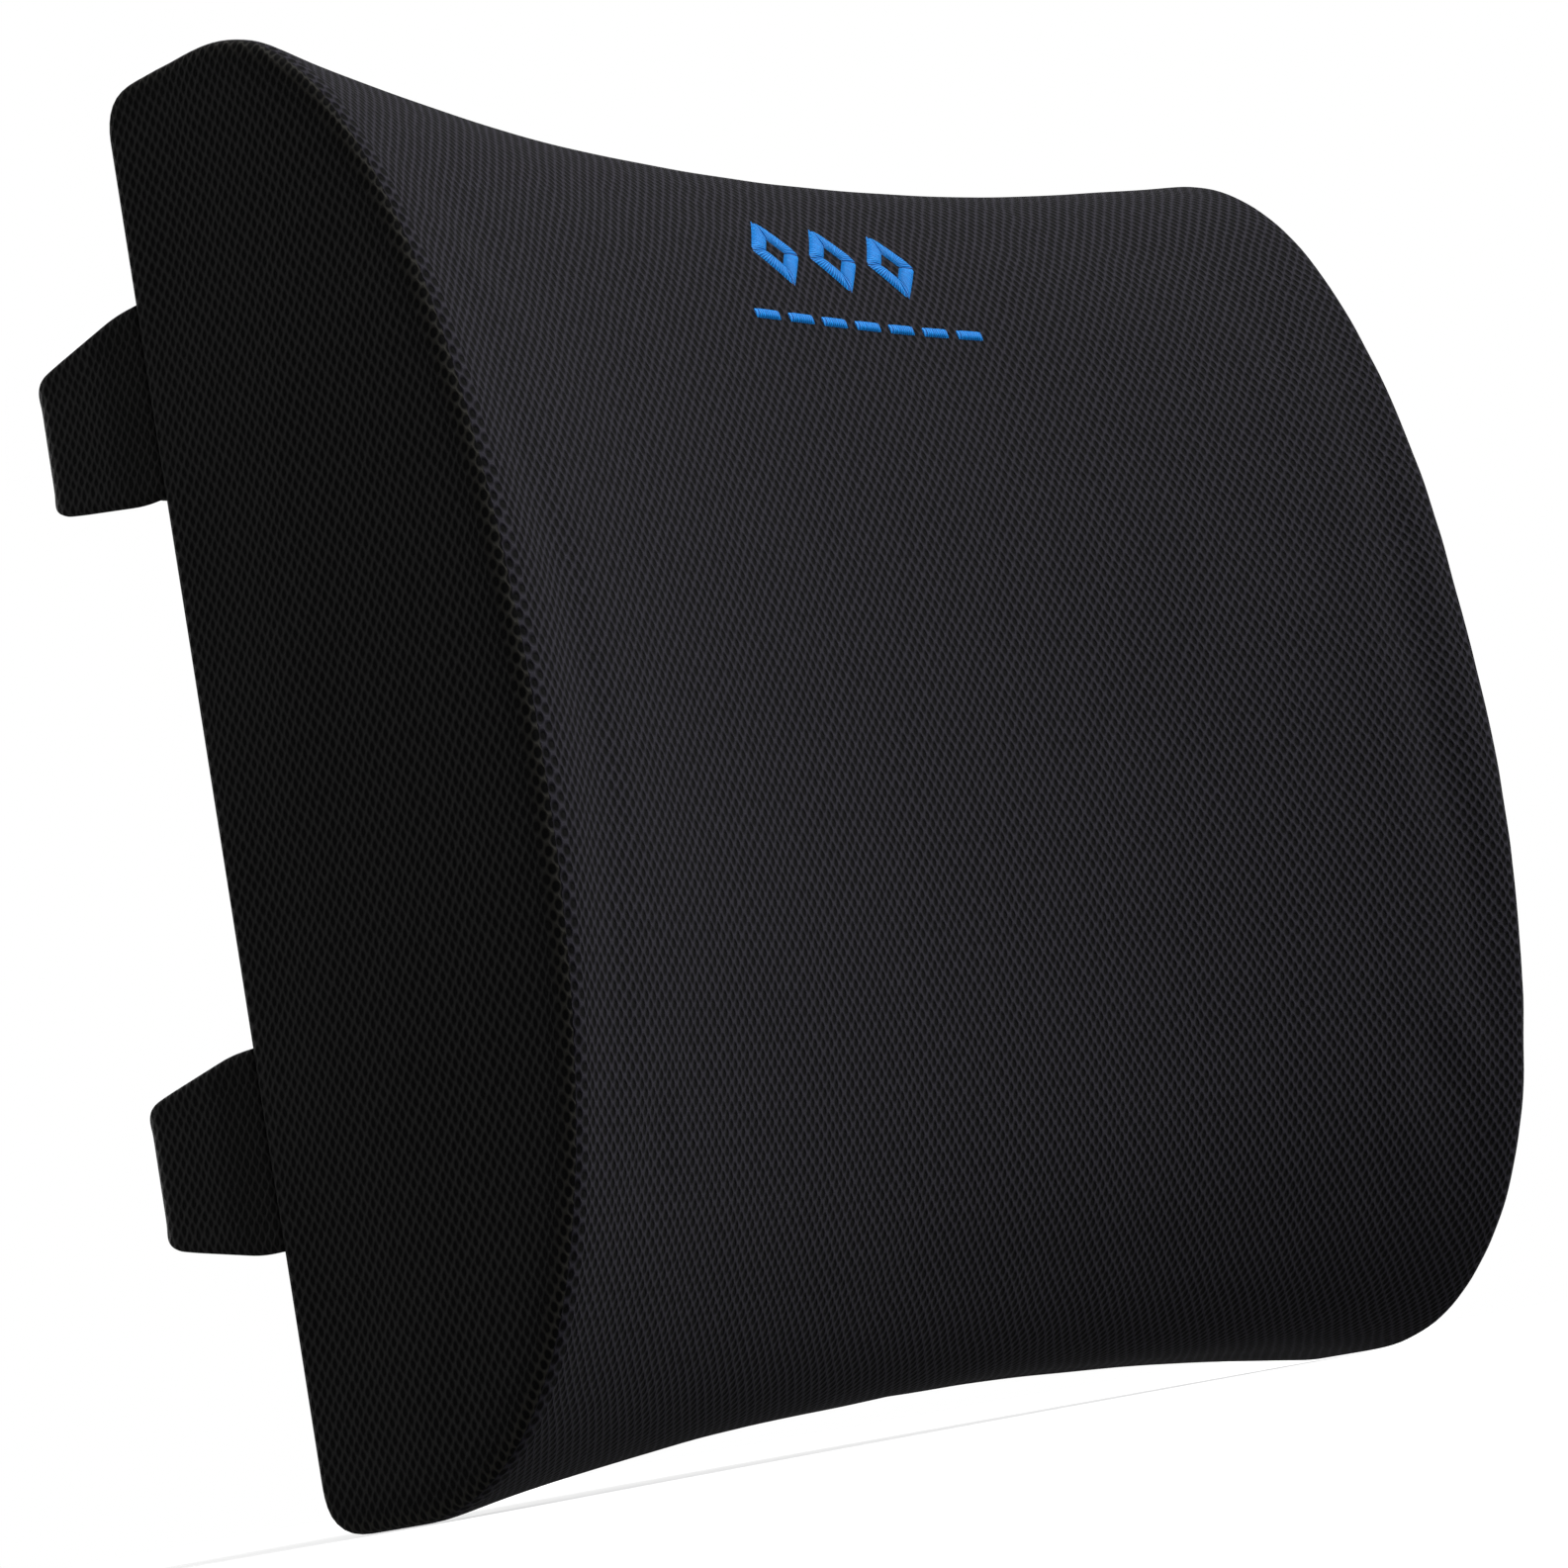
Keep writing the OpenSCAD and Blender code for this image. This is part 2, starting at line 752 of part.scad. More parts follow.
in_frame() tab_root(1, lower_strap_z);  // lower_right_tab_root
in_frame() tab(-1, upper_strap_z);  // upper_left_tab
in_frame() tab(1, upper_strap_z);  // upper_right_tab
in_frame() tab(-1, lower_strap_z);  // lower_left_tab
in_frame() tab(1, lower_strap_z);  // lower_right_tab
in_frame() fixed_webbing(upper_strap_z);  // upper_fixed_webbing
in_frame() fixed_webbing(lower_strap_z);  // lower_fixed_webbing
in_frame() adjuster_webbing(upper_strap_z);  // upper_adjuster_webbing
in_frame() adjuster_webbing(lower_strap_z);  // lower_adjuster_webbing
in_frame() buckle_socket(upper_strap_z);  // upper_buckle_socket
in_frame() buckle_socket(lower_strap_z);  // lower_buckle_socket
in_frame() buckle_plug(upper_strap_z);  // upper_buckle_plug
in_frame() buckle_plug(lower_strap_z);  // lower_buckle_plug
in_frame() webbing_tail(upper_strap_z);  // upper_webbing_tail
in_frame() webbing_tail(lower_strap_z);  // lower_webbing_tail
in_frame() prong(1, upper_strap_z);  // upper_prong_above
in_frame() prong(1, lower_strap_z);  // lower_prong_above
in_frame() prong(-1, upper_strap_z);  // upper_prong_below
in_frame() prong(-1, lower_strap_z);  // lower_prong_below
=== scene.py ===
"""Lumbar support cushion: its mesh cover, core, zip, straps and buckles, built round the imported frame."""

import math

import bpy
import numpy as np
from mathutils import Matrix, Vector


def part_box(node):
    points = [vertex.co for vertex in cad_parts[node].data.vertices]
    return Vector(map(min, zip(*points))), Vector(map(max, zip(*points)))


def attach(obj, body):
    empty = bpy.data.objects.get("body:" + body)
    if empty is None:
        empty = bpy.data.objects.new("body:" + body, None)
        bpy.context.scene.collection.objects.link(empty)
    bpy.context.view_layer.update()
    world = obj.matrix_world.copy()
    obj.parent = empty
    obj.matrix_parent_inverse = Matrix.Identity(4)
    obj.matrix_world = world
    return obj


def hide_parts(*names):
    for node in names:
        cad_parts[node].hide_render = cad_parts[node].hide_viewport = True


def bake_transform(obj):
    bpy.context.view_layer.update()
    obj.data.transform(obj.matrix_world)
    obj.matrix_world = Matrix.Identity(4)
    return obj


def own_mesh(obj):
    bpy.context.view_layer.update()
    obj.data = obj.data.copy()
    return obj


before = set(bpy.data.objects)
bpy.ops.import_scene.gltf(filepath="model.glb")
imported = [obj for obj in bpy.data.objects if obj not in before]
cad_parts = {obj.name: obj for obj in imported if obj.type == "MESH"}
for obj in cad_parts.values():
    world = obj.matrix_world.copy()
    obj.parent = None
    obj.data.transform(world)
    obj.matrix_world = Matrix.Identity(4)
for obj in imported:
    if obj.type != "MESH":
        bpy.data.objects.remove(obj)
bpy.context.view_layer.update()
MM = 0.001
STRAPS = ("upper", "lower")
SIDES = ("left", "right")

# ---- Sizes, from the frame ----

HALF_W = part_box("right_side_panel")[1].x
BACK_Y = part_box("back_panel")[1].y
FRONT_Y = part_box("front_panel")[0].y
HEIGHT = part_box("front_panel")[1].z
DEPTH = BACK_Y - FRONT_Y
COVER_T = BACK_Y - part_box("back_panel")[0].y
ZIP_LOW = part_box("lower_back_panel")[1].z
ZIP_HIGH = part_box("back_panel")[0].z

# The cushion's form, as in the CAD source
BELLY_Z = 150 * MM
FRONT_SCOOP = 0.28
TOP_DIP = 10.7 * MM
BOTTOM_RISE = 9.7 * MM
SEAM_ROUND = 4 * MM
BOTTOM_ROUND = 9 * MM
TOP_ROUND = 9 * MM
FLAT_D = 30 * MM
BOTTOM_REACH = 45 * MM
BELLY_REACH = 95 * MM
TOP_REACH = 48 * MM
SKIRT_X = HALF_W - SEAM_ROUND


# ---- Camera ----

CAMERA_PLACE = Vector((-0.7431, BACK_Y - 0.6922, 0.0053))
CAMERA_YAW, CAMERA_PITCH, CAMERA_ROLL = -47.47, 8.69, -10.13
CAMERA_LENS = 96.3
SENSOR = 36.0


def make_camera():
    yaw, pitch, roll = (math.radians(a) for a in (CAMERA_YAW, CAMERA_PITCH, CAMERA_ROLL))
    ahead = Vector((-math.sin(yaw) * math.cos(pitch), math.cos(yaw) * math.cos(pitch), math.sin(pitch)))
    right = Vector((math.cos(yaw), math.sin(yaw), 0))
    up = right.cross(ahead)
    turned_right = math.cos(roll) * right + math.sin(roll) * up
    turned_up = -math.sin(roll) * right + math.cos(roll) * up
    data = bpy.data.cameras.new("camera")
    data.lens = CAMERA_LENS
    data.sensor_width = SENSOR
    data.clip_start = 0.01
    camera = bpy.data.objects.new("camera", data)
    axes = Matrix((turned_right, turned_up, -ahead)).transposed()
    camera.matrix_world = Matrix.Translation(CAMERA_PLACE) @ axes.to_4x4()
    bpy.context.scene.collection.objects.link(camera)
    bpy.context.scene.camera = camera


make_camera()


def rgb(r, g, b):
    return (r, g, b, 1.0)


# ---- Mesh helpers ----

def new_piece(name, points, faces, weave=None):
    """A smooth mesh object. weave is a (u mm, v mm, closeness to a seam) triple for each point."""
    mesh = bpy.data.meshes.new(name)
    mesh.from_pydata([tuple(map(float, p)) for p in points], [], [list(map(int, f)) for f in faces])
    mesh.update()
    if weave is not None:
        attribute = mesh.attributes.new("weave", "FLOAT_VECTOR", "POINT")
        attribute.data.foreach_set("vector", np.asarray(weave, np.float32).ravel())
    mesh.polygons.foreach_set("use_smooth", [True] * len(mesh.polygons))
    piece = bpy.data.objects.new(name, mesh)
    bpy.context.scene.collection.objects.link(piece)
    return piece


def add_modifier(piece, kind, **settings):
    modifier = piece.modifiers.new(kind.lower(), kind)
    for key, value in settings.items():
        setattr(modifier, key, value)
    return modifier


def settle(piece):
    """Applies the piece's modifiers, so that its mesh is final."""
    graph = bpy.context.evaluated_depsgraph_get()
    mesh = bpy.data.meshes.new_from_object(piece.evaluated_get(graph))
    piece.modifiers.clear()
    piece.data = mesh
    return piece


def points_of(mesh):
    flat = np.zeros(len(mesh.vertices) * 3)
    mesh.vertices.foreach_get("co", flat)
    return flat.reshape(-1, 3)


def finish_piece(piece, material, body, slot, *nodes):
    """Gives the piece its material, the body that it rides on and the nodes that it stands for; slot is not
    used.
    """
    piece.data.materials.clear()
    piece.data.materials.append(material)
    if body:
        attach(piece, body)
    if nodes:
        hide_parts(*nodes)
    return piece


# ---- Node helpers ----

class Graph:
    """A short way to write the nodes of a material, or of the world."""

    def __init__(self, block):
        block.use_nodes = True
        self.block = block
        self.tree = block.node_tree
        self.shader = self.tree.nodes.get("Principled BSDF")

    def put(self, target, value):
        if isinstance(value, bpy.types.NodeSocket):
            self.tree.links.new(value, target)
        else:
            target.default_value = value

    def node(self, kind, inputs=(), **settings):
        made = self.tree.nodes.new(kind)
        for key, value in settings.items():
            setattr(made, key, value)
        for key, value in dict(inputs).items():
            self.put(made.inputs[key], value)
        return made

    def math(self, operation, a, b=0.0, c=0.0):
        return self.node("ShaderNodeMath", {0: a, 1: b, 2: c}, operation=operation).outputs[0]

    def step(self, value, low, high, out_low=0.0, out_high=1.0):
        """A smooth step of value from low to high."""
        inputs = {"Value": value, "From Min": low, "From Max": high, "To Min": out_low, "To Max": out_high}
        return self.node("ShaderNodeMapRange", inputs, interpolation_type="SMOOTHSTEP").outputs["Result"]

    def noise(self, vector, scale, detail=2.0):
        inputs = {"Vector": vector, "Scale": scale, "Detail": detail}
        return self.node("ShaderNodeTexNoise", inputs).outputs["Fac"]

    def mix(self, share, a, b):
        made = self.node("ShaderNodeMix", data_type="RGBA")
        self.put(made.inputs["Factor"], share)
        self.put(made.inputs["A"], a)
        self.put(made.inputs["B"], b)
        return made.outputs["Result"]

    def weave(self):
        """The weave attribute: the vector, and its three values."""
        vector = self.node("ShaderNodeAttribute", attribute_name="weave").outputs["Vector"]
        parts = self.node("ShaderNodeSeparateXYZ", {"Vector": vector})
        return vector, parts.outputs["X"], parts.outputs["Y"], parts.outputs["Z"]

    def bump(self, height, distance, strength):
        inputs = {"Height": height, "Distance": distance, "Strength": strength}
        self.put(self.shader.inputs["Normal"], self.node("ShaderNodeBump", inputs).outputs["Normal"])

    def surface(self, **values):
        for key, value in values.items():
            self.put(self.shader.inputs[key.replace("_", " ")], value)


# ---- Materials ----

def material_graph(name):
    return Graph(bpy.data.materials.new(name))


MESH_PITCH = (3.05, 3.6)      # mm, across and up: two staggered rows to each step up
HOLE_HALF = (0.68, 1.0)       # mm, half a hole's width and height
HOLE_SHADE = rgb(0.0008, 0.0008, 0.0008)
SEAM_WIDENS = 0.38            # how much wider the holes are at a seam
KNIT_UNEVEN = 0.5             # how much the holes' size varies
KNIT_WANDER = 2.2             # mm, how far the columns of holes wander


def mesh_cloth(name, thread, lit_crest, near_seam_colour):
    """Knitted spacer mesh: staggered oval holes between rounded threads, pulled wider beside a seam. The
    holes are painted dark as shade, and the threads' crowns painted lighter as highlight.
    """
    g = material_graph(name)
    vector, u, v, seam = g.weave()
    uneven = g.noise(vector, 0.35, 3.0)
    swell = g.math("MULTIPLY_ADD", g.math("SUBTRACT", uneven, 0.5), KNIT_UNEVEN, 1.0)
    swell = g.math("MULTIPLY_ADD", seam, SEAM_WIDENS, swell)
    wander = g.math("MULTIPLY", g.math("SUBTRACT", g.noise(vector, 0.06, 2.0), 0.5), KNIT_WANDER)
    across = g.math("DIVIDE", g.math("ADD", u, wander), MESH_PITCH[0])
    along = g.math("DIVIDE", v, MESH_PITCH[1])

    def hole_distance(shift):
        """Distance to the nearest hole of one set of rows, 1 at its rim."""
        fu = g.math("SUBTRACT", g.math("FRACT", g.math("ADD", across, shift)), 0.5)
        fv = g.math("SUBTRACT", g.math("FRACT", g.math("ADD", along, shift)), 0.5)
        du = g.math("MULTIPLY", fu, MESH_PITCH[0] / HOLE_HALF[0])
        dv = g.math("MULTIPLY", fv, MESH_PITCH[1] / HOLE_HALF[1])
        return g.math("SQRT", g.math("ADD", g.math("MULTIPLY", du, du), g.math("MULTIPLY", dv, dv)))

    nearest = g.math("DIVIDE", g.math("MINIMUM", hole_distance(0.0), hole_distance(0.5)), swell)
    rim = g.step(nearest, 0.6, 1.15)
    crown = g.step(nearest, 1.0, 1.65)
    fibre = g.noise(vector, 5.0, 3.0)
    # painted highlight: the threads' crowns take the lighter colour, their sides the darker one, as in shade
    shade = g.math("MULTIPLY", crown, g.step(fibre, 0.25, 0.75, 0.5, 1.0))
    colour = g.mix(shade, thread, lit_crest)
    # beside a seam the colour moves towards another one: on the tabs a darker one, painted shade by the
    # cushion; on the side panels a lighter, browner one
    colour = g.mix(g.step(seam, 0.4, 1.0, 0.0, 0.8), colour, near_seam_colour)
    colour = g.mix(rim, HOLE_SHADE, colour)
    height = g.math("ADD", g.math("MULTIPLY", rim, 0.55), g.math("MULTIPLY", crown, 0.45))
    height = g.math("MULTIPLY_ADD", fibre, 0.12, height)
    g.bump(height, 0.45 * MM, 0.9)
    g.surface(Base_Color=colour, Roughness=0.85, Specular_IOR_Level=0.05, Sheen_Weight=0.01)
    return g.block


def webbing_cloth():
    """Ribbed polypropylene webbing with a herringbone face."""
    g = material_graph("webbing_black")
    vector, u, v = g.weave()[:3]
    rib_pitch = 0.75
    herringbone = 2.6
    zigzag = g.math("PINGPONG", v, herringbone)
    slant = g.math("MULTIPLY_ADD", zigzag, rib_pitch, u)
    rib = g.math("PINGPONG", g.math("DIVIDE", slant, rib_pitch), 1.0)
    cord = g.step(rib, 0.1, 0.8)
    fibre = g.noise(vector, 6.0, 3.0)
    height = g.math("MULTIPLY_ADD", fibre, 0.3, cord)
    # painted light and shade: the raised ribs are lighter and the grooves between them darker; the fibre
    # noise is real tone
    colour = g.mix(g.math("MULTIPLY", height, 0.75), rgb(0.0015, 0.0015, 0.002), rgb(0.021, 0.0205, 0.023))
    g.bump(height, 0.3 * MM, 1.0)
    g.surface(Base_Color=colour, Roughness=0.6, Specular_IOR_Level=0.25, Sheen_Weight=0.03)
    return g.block


def zip_tape_cloth():
    """Plain woven tape, with its warp and weft showing."""
    g = material_graph("zip_tape_black")
    vector, u, v = g.weave()[:3]
    warp_pitch, weft_pitch = 0.3, 0.42
    warp = g.math("PINGPONG", g.math("DIVIDE", u, warp_pitch), 1.0)
    weft = g.math("PINGPONG", g.math("DIVIDE", v, weft_pitch), 1.0)
    height = g.math("MAXIMUM", g.step(warp, 0.2, 0.9), g.step(weft, 0.3, 1.0))
    fibre = g.noise(vector, 4.0, 2.0)
    # painted light and shade: the raised threads are lighter and the gaps between them darker
    colour = g.mix(g.math("MULTIPLY", height, fibre), rgb(0.004, 0.004, 0.005), rgb(0.028, 0.028, 0.031))
    g.bump(height, 0.15 * MM, 0.8)
    g.surface(Base_Color=colour, Roughness=0.8, Specular_IOR_Level=0.2)
    return g.block


def satin_thread(name, low, high):
    """Satin stitch: fine parallel threads running across the shape."""
    g = material_graph(name)
    vector, u = g.weave()[:2]
    strand_pitch = 0.36
    uneven = g.math("MULTIPLY", g.noise(vector, 0.9, 2.0), 0.9)
    strand = g.math("PINGPONG", g.math("DIVIDE", g.math("ADD", u, uneven), strand_pitch), 1.0)
    strand = g.step(strand, 0.05, 0.8)
    # painted highlight along each strand's crown and painted shade between the strands; the noise is real
    # tone
    tone = g.math("MULTIPLY", strand, g.step(g.noise(vector, 0.5, 2.0), 0.3, 0.7, 0.65, 1.0))
    g.bump(strand, 0.22 * MM, 0.9)
    g.surface(Base_Color=g.mix(tone, low, high), Roughness=0.5, Specular_IOR_Level=0.12)
    return g.block


def moulded_surface(name, low, high, roughness, grain=0.04 * MM):
    """Moulded plastic or enamel, with a fine grain, and paler on its sharp convex edges."""
    g = material_graph(name)
    place = g.node("ShaderNodeTexCoord").outputs["Object"]
    fine = g.noise(place, 2600.0, 2.0)
    wide = g.noise(place, 90.0, 3.0)
    convex_edge = g.step(g.node("ShaderNodeNewGeometry").outputs["Pointiness"], 0.52, 0.62)
    tone = g.math("MULTIPLY_ADD", convex_edge, 0.6, g.math("MULTIPLY", wide, 0.4))
    g.bump(g.math("ADD", fine, g.math("MULTIPLY", wide, 0.3)), grain, 0.6)
    varied = g.step(wide, 0.3, 0.7, roughness - 0.06, roughness + 0.06)
    g.surface(Base_Color=g.mix(tone, low, high), Specular_IOR_Level=0.45, Roughness=varied)
    return g.block


def foam_material():
    """Open-cell foam: small pits, and a slow change of tone."""
    g = material_graph("memory_foam")
    place = g.node("ShaderNodeTexCoord").outputs["Object"]
    cells = g.node("ShaderNodeTexVoronoi", {"Vector": place, "Scale": 900.0}).outputs["Distance"]
    wide = g.noise(place, 12.0, 3.0)
    g.bump(cells, 0.3 * MM, 0.7)
    pale = g.mix(wide, rgb(0.80, 0.72, 0.48), rgb(0.93, 0.87, 0.66))
    # painted shade: the foam's pits are darker; the slow change of tone is real
    colour = g.mix(g.step(cells, 0.0, 0.5), rgb(0.55, 0.47, 0.28), pale)
    g.surface(Base_Color=colour, Roughness=0.95, Specular_IOR_Level=0.1, Sheen_Weight=0.1)
    return g.block


def liner_material():
    """Thin knitted jersey: fine upright ribs of small loops."""
    g = material_graph("liner_jersey")
    vector, u, v = g.weave()[:3]
    rib_pitch, loop_pitch = 0.55, 0.4
    rib = g.math("PINGPONG", g.math("DIVIDE", u, rib_pitch), 1.0)
    loop = g.math("PINGPONG", g.math("DIVIDE", g.math("ADD", v, rib), loop_pitch), 1.0)
    height = g.math("MULTIPLY", g.step(rib, 0.0, 0.7), g.step(loop, 0.0, 0.8, 0.5, 1.0))
    fibre = g.noise(vector, 3.0, 3.0)
    # painted light and shade: the raised loops are lighter and the hollows between them darker
    colour = g.mix(g.math("MULTIPLY", height, fibre), rgb(0.50, 0.50, 0.49), rgb(0.80, 0.80, 0.78))
    g.bump(height, 0.2 * MM, 0.7)
    g.surface(Base_Color=colour, Roughness=0.85, Specular_IOR_Level=0.15, Sheen_Weight=0.2)
    return g.block


# Painted light and shade on the mesh: the lighter crown colours are painted highlight, the darker thread
# colours painted shade.
SHADED_THREAD = rgb(0.0050, 0.0050, 0.0051)
GREY_LIT_CREST = rgb(0.0170, 0.0168, 0.0166)
VIOLET_LIT_CREST = rgb(0.0180, 0.0168, 0.0224)
# The front's violet tint, in its threads and crowns, is painted cool light from above.
FRONT_MESH = mesh_cloth("front_mesh_black", rgb(0.0050, 0.0046, 0.0064), VIOLET_LIT_CREST, VIOLET_LIT_CREST)
SIDE_MESH = mesh_cloth("side_mesh_black", SHADED_THREAD, GREY_LIT_CREST, rgb(0.0195, 0.0186, 0.0160))
# the strap's darker colour at the tab's root, beside the cushion, is painted shade
STRAP_MESH = mesh_cloth("strap_mesh_black", SHADED_THREAD, GREY_LIT_CREST, rgb(0.0100, 0.0098, 0.0095))
WEBBING = webbing_cloth()
ZIP_TAPE = zip_tape_cloth()
EMBROIDERY = satin_thread("embroidery_blue", rgb(0.0, 0.065, 0.27), rgb(0.0, 0.19, 0.55))
STITCHING = satin_thread("stitching_black", rgb(0.006, 0.006, 0.007), rgb(0.040, 0.040, 0.044))
BUCKLE = moulded_surface("buckle_acetal", rgb(0.006, 0.006, 0.0065), rgb(0.022, 0.022, 0.023), 0.42)
COIL = moulded_surface("zip_nylon", rgb(0.006, 0.006, 0.007), rgb(0.03, 0.03, 0.032), 0.35, 0.02 * MM)
ZIP_METAL = moulded_surface("zip_enamel", rgb(0.008, 0.008, 0.009), rgb(0.05, 0.05, 0.052), 0.28, 0.015 * MM)
FOAM = foam_material()
LINER = liner_material()


# ---- The cushion's form ----

def cubic(a, b, c, d, count):
    t = np.linspace(0, 1, count)[:, None]
    a, b, c, d = (np.array(p) for p in (a, b, c, d))
    return a * (1 - t) ** 3 + 3 * b * t * (1 - t) ** 2 + 3 * c * t * t * (1 - t) + d * t ** 3


def arc_points(centre, radius, start, end, count):
    angle = np.radians(np.linspace(start, end, count))[:, None]
    return np.array(centre) + radius * np.hstack([np.cos(angle), np.sin(angle)])


CURVE_STEPS = 120        # fine steps, spread evenly later
CORNER_STEPS = 16


def side_outline():
    """The side panel's outline as (y, z) points from its lower to its upper back corner, y from the back."""
    belly = (-DEPTH, BELLY_Z)
    lower = cubic((-FLAT_D, 0), (-FLAT_D - BOTTOM_REACH, 0),
                  (-DEPTH, BELLY_Z - BELLY_REACH), belly, CURVE_STEPS)
    upper = cubic(belly, (-DEPTH, BELLY_Z + BELLY_REACH),
                  (-FLAT_D - TOP_REACH, HEIGHT), (-FLAT_D, HEIGHT), CURVE_STEPS)
    return np.vstack([
        arc_points((-BOTTOM_ROUND, BOTTOM_ROUND), BOTTOM_ROUND, 0, -90, CORNER_STEPS),
        lower,
        upper[1:],
        arc_points((-TOP_ROUND, HEIGHT - TOP_ROUND), TOP_ROUND, 90, 0, CORNER_STEPS),
    ])


def lengths_along(points):
    return np.concatenate([[0], np.cumsum(np.linalg.norm(np.diff(points, axis=0), axis=1))])


def spread_evenly(points, count):
    along = lengths_along(points)
    wanted = np.linspace(0, along[-1], count)
    return np.stack([np.interp(wanted, along, points[:, k]) for k in (0, 1)], axis=1)


def dished(points, x):
    """The outline as it is at x, pulled in by the scoop of the front, top and bottom."""
    scoop = max(0.0, 1 - (x / SKIRT_X) ** 2)
    up = points[:, 1] / HEIGHT
    y = points[:, 0] * (1 - FRONT_SCOOP * scoop)
    z = points[:, 1] - TOP_DIP * scoop * up + BOTTOM_RISE * scoop * (1 - up)
    return np.stack([y, z], axis=1)


def inset(points, depth):
    """A closed outline moved inwards."""
    along = np.roll(points, -1, axis=0) - np.roll(points, 1, axis=0)
    inwards = np.stack([along[:, 1], -along[:, 0]], axis=1)
    return points + depth * inwards / np.linalg.norm(along, axis=1)[:, None]


FRONT_STEPS = 94         # up the front, from the lower to the upper back corner
SPAN_STEPS = 66          # across the flat middle
ROUND_STEPS = 6          # round a side seam
SIDE_STEPS = 22          # across a side panel, from its front to its back
SEAM_STEP = 2            # the ring, out of ROUND_STEPS, where the side panel is sewn on
SQUARENESS = 2 / 3       # 1 gives the side seam a round section, less makes it squarer


def seam_section():
    """(across, fall, length so far) of each ring round the side seam."""
    angles = np.radians(np.linspace(0, 90, ROUND_STEPS + 1))
    across = SEAM_ROUND * np.sin(angles) ** SQUARENESS
    fall = SEAM_ROUND * (1 - np.abs(np.cos(angles)) ** SQUARENESS)
    length = lengths_along(np.stack([across, fall], axis=1))
    return list(zip(across, fall, length))[1:]


SEAM_ACROSS, _, SEAM_LENGTH = seam_section()[SEAM_STEP - 1]
ROLL_LENGTH = seam_section()[-1][2]
SEAM_U = SKIRT_X + SEAM_LENGTH
ZIP_ROWS = (5, 4)        # rows of the back below the zip, and across it


def back_levels():
    """Heights of the back's rows, so that a row runs along each edge of the zip's slot."""
    low, high = BOTTOM_ROUND, HEIGHT - TOP_ROUND
    rest = FRONT_STEPS - sum(ZIP_ROWS)
    return np.concatenate([
        np.linspace(low, ZIP_LOW, ZIP_ROWS[0] + 1),
        np.linspace(ZIP_LOW, ZIP_HIGH, ZIP_ROWS[1] + 1)[1:],
        np.linspace(ZIP_HIGH, high, rest + 1)[1:],
    ])


def closed_outline():
    """Front steps from the lower to the upper back corner, then the back's rows down again."""
    front = spread_evenly(side_outline(), FRONT_STEPS + 1)
    levels = back_levels()[1:-1][::-1]
    back = np.stack([np.zeros(len(levels)), levels], axis=1)
    return np.vstack([front, back])


def level_back(points):
    """Spreads the back's rows between its corners again, so that the zip's slot stays straight."""
    lower, upper = points[0, 1], points[FRONT_STEPS, 1]
    even = back_levels()[::-1]
    marks = [even[-1], ZIP_LOW, ZIP_HIGH, even[0]]
    points[FRONT_STEPS + 1:, 1] = np.interp(even[1:-1], marks, [lower, ZIP_LOW, ZIP_HIGH, upper])


def ring(x, fall, depth=0.0, back_room=None):
    """The outline at x as (x, y, z) points, set in by fall and depth, and its back by back_room."""
    points = inset(dished(closed_outline(), x), fall + depth)
    level_back(points)
    if back_room is not None:
        front, rear = points[:, 0].min(), points[:, 0].max()
        points[:, 0] = front + (points[:, 0] - front) * (-back_room - fall - front) / (rear - front)
    return np.stack([np.full(len(points), x), points[:, 0] + BACK_Y, points[:, 1]], axis=1)


def ring_stations(end_x):
    """(x, fall, u) of each ring: across the span, then round each side seam."""
    flat_x = end_x - SEAM_ROUND
    rounded = [(flat_x + across, fall, flat_x + length) for across, fall, length in seam_section()]
    middle = [(x, 0.0, x) for x in np.linspace(-flat_x, flat_x, SPAN_STEPS + 1)]
    left = [(-x, fall, -u) for x, fall, u in reversed(rounded)]
    return left + middle + rounded


RING = 2 * FRONT_STEPS
FRONT, BACK, LEFT, RIGHT = range(4)


def cushion_form(end_x, depth=0.0, back_room=None):
    """The closed form of one layer: its points and faces, each face's panel and each point's weave."""
    stations = ring_stations(end_x)
    rings = [ring(x, fall, depth, back_room) for x, fall, _ in stations]
    points = list(np.vstack(rings))
    weave = []
    for (_, _, u), loop in zip(stations, rings):
        along = lengths_along(loop[:, 1:])
        middle = along[np.argmin(abs(loop[:FRONT_STEPS, 2] - BELLY_Z))]
        weave += [(u / MM, (a - middle) / MM, 0) for a in along]
    faces, panels = [], []
    last = len(rings) - 1
    for i in range(last):
        for j in range(RING):
            k = (j + 1) % RING
            faces.append((i * RING + j, (i + 1) * RING + j, (i + 1) * RING + k, i * RING + k))
            if i < ROUND_STEPS - SEAM_STEP:
                panels.append(LEFT)
            elif i >= last - (ROUND_STEPS - SEAM_STEP):
                panels.append(RIGHT)
            else:
                panels.append(BACK if j >= FRONT_STEPS else FRONT)
    for i, panel in ((0, LEFT), (last, RIGHT)):
        add_side(points, weave, faces, panels, i * RING, panel)
    return np.array(points), faces, panels, np.array(weave)


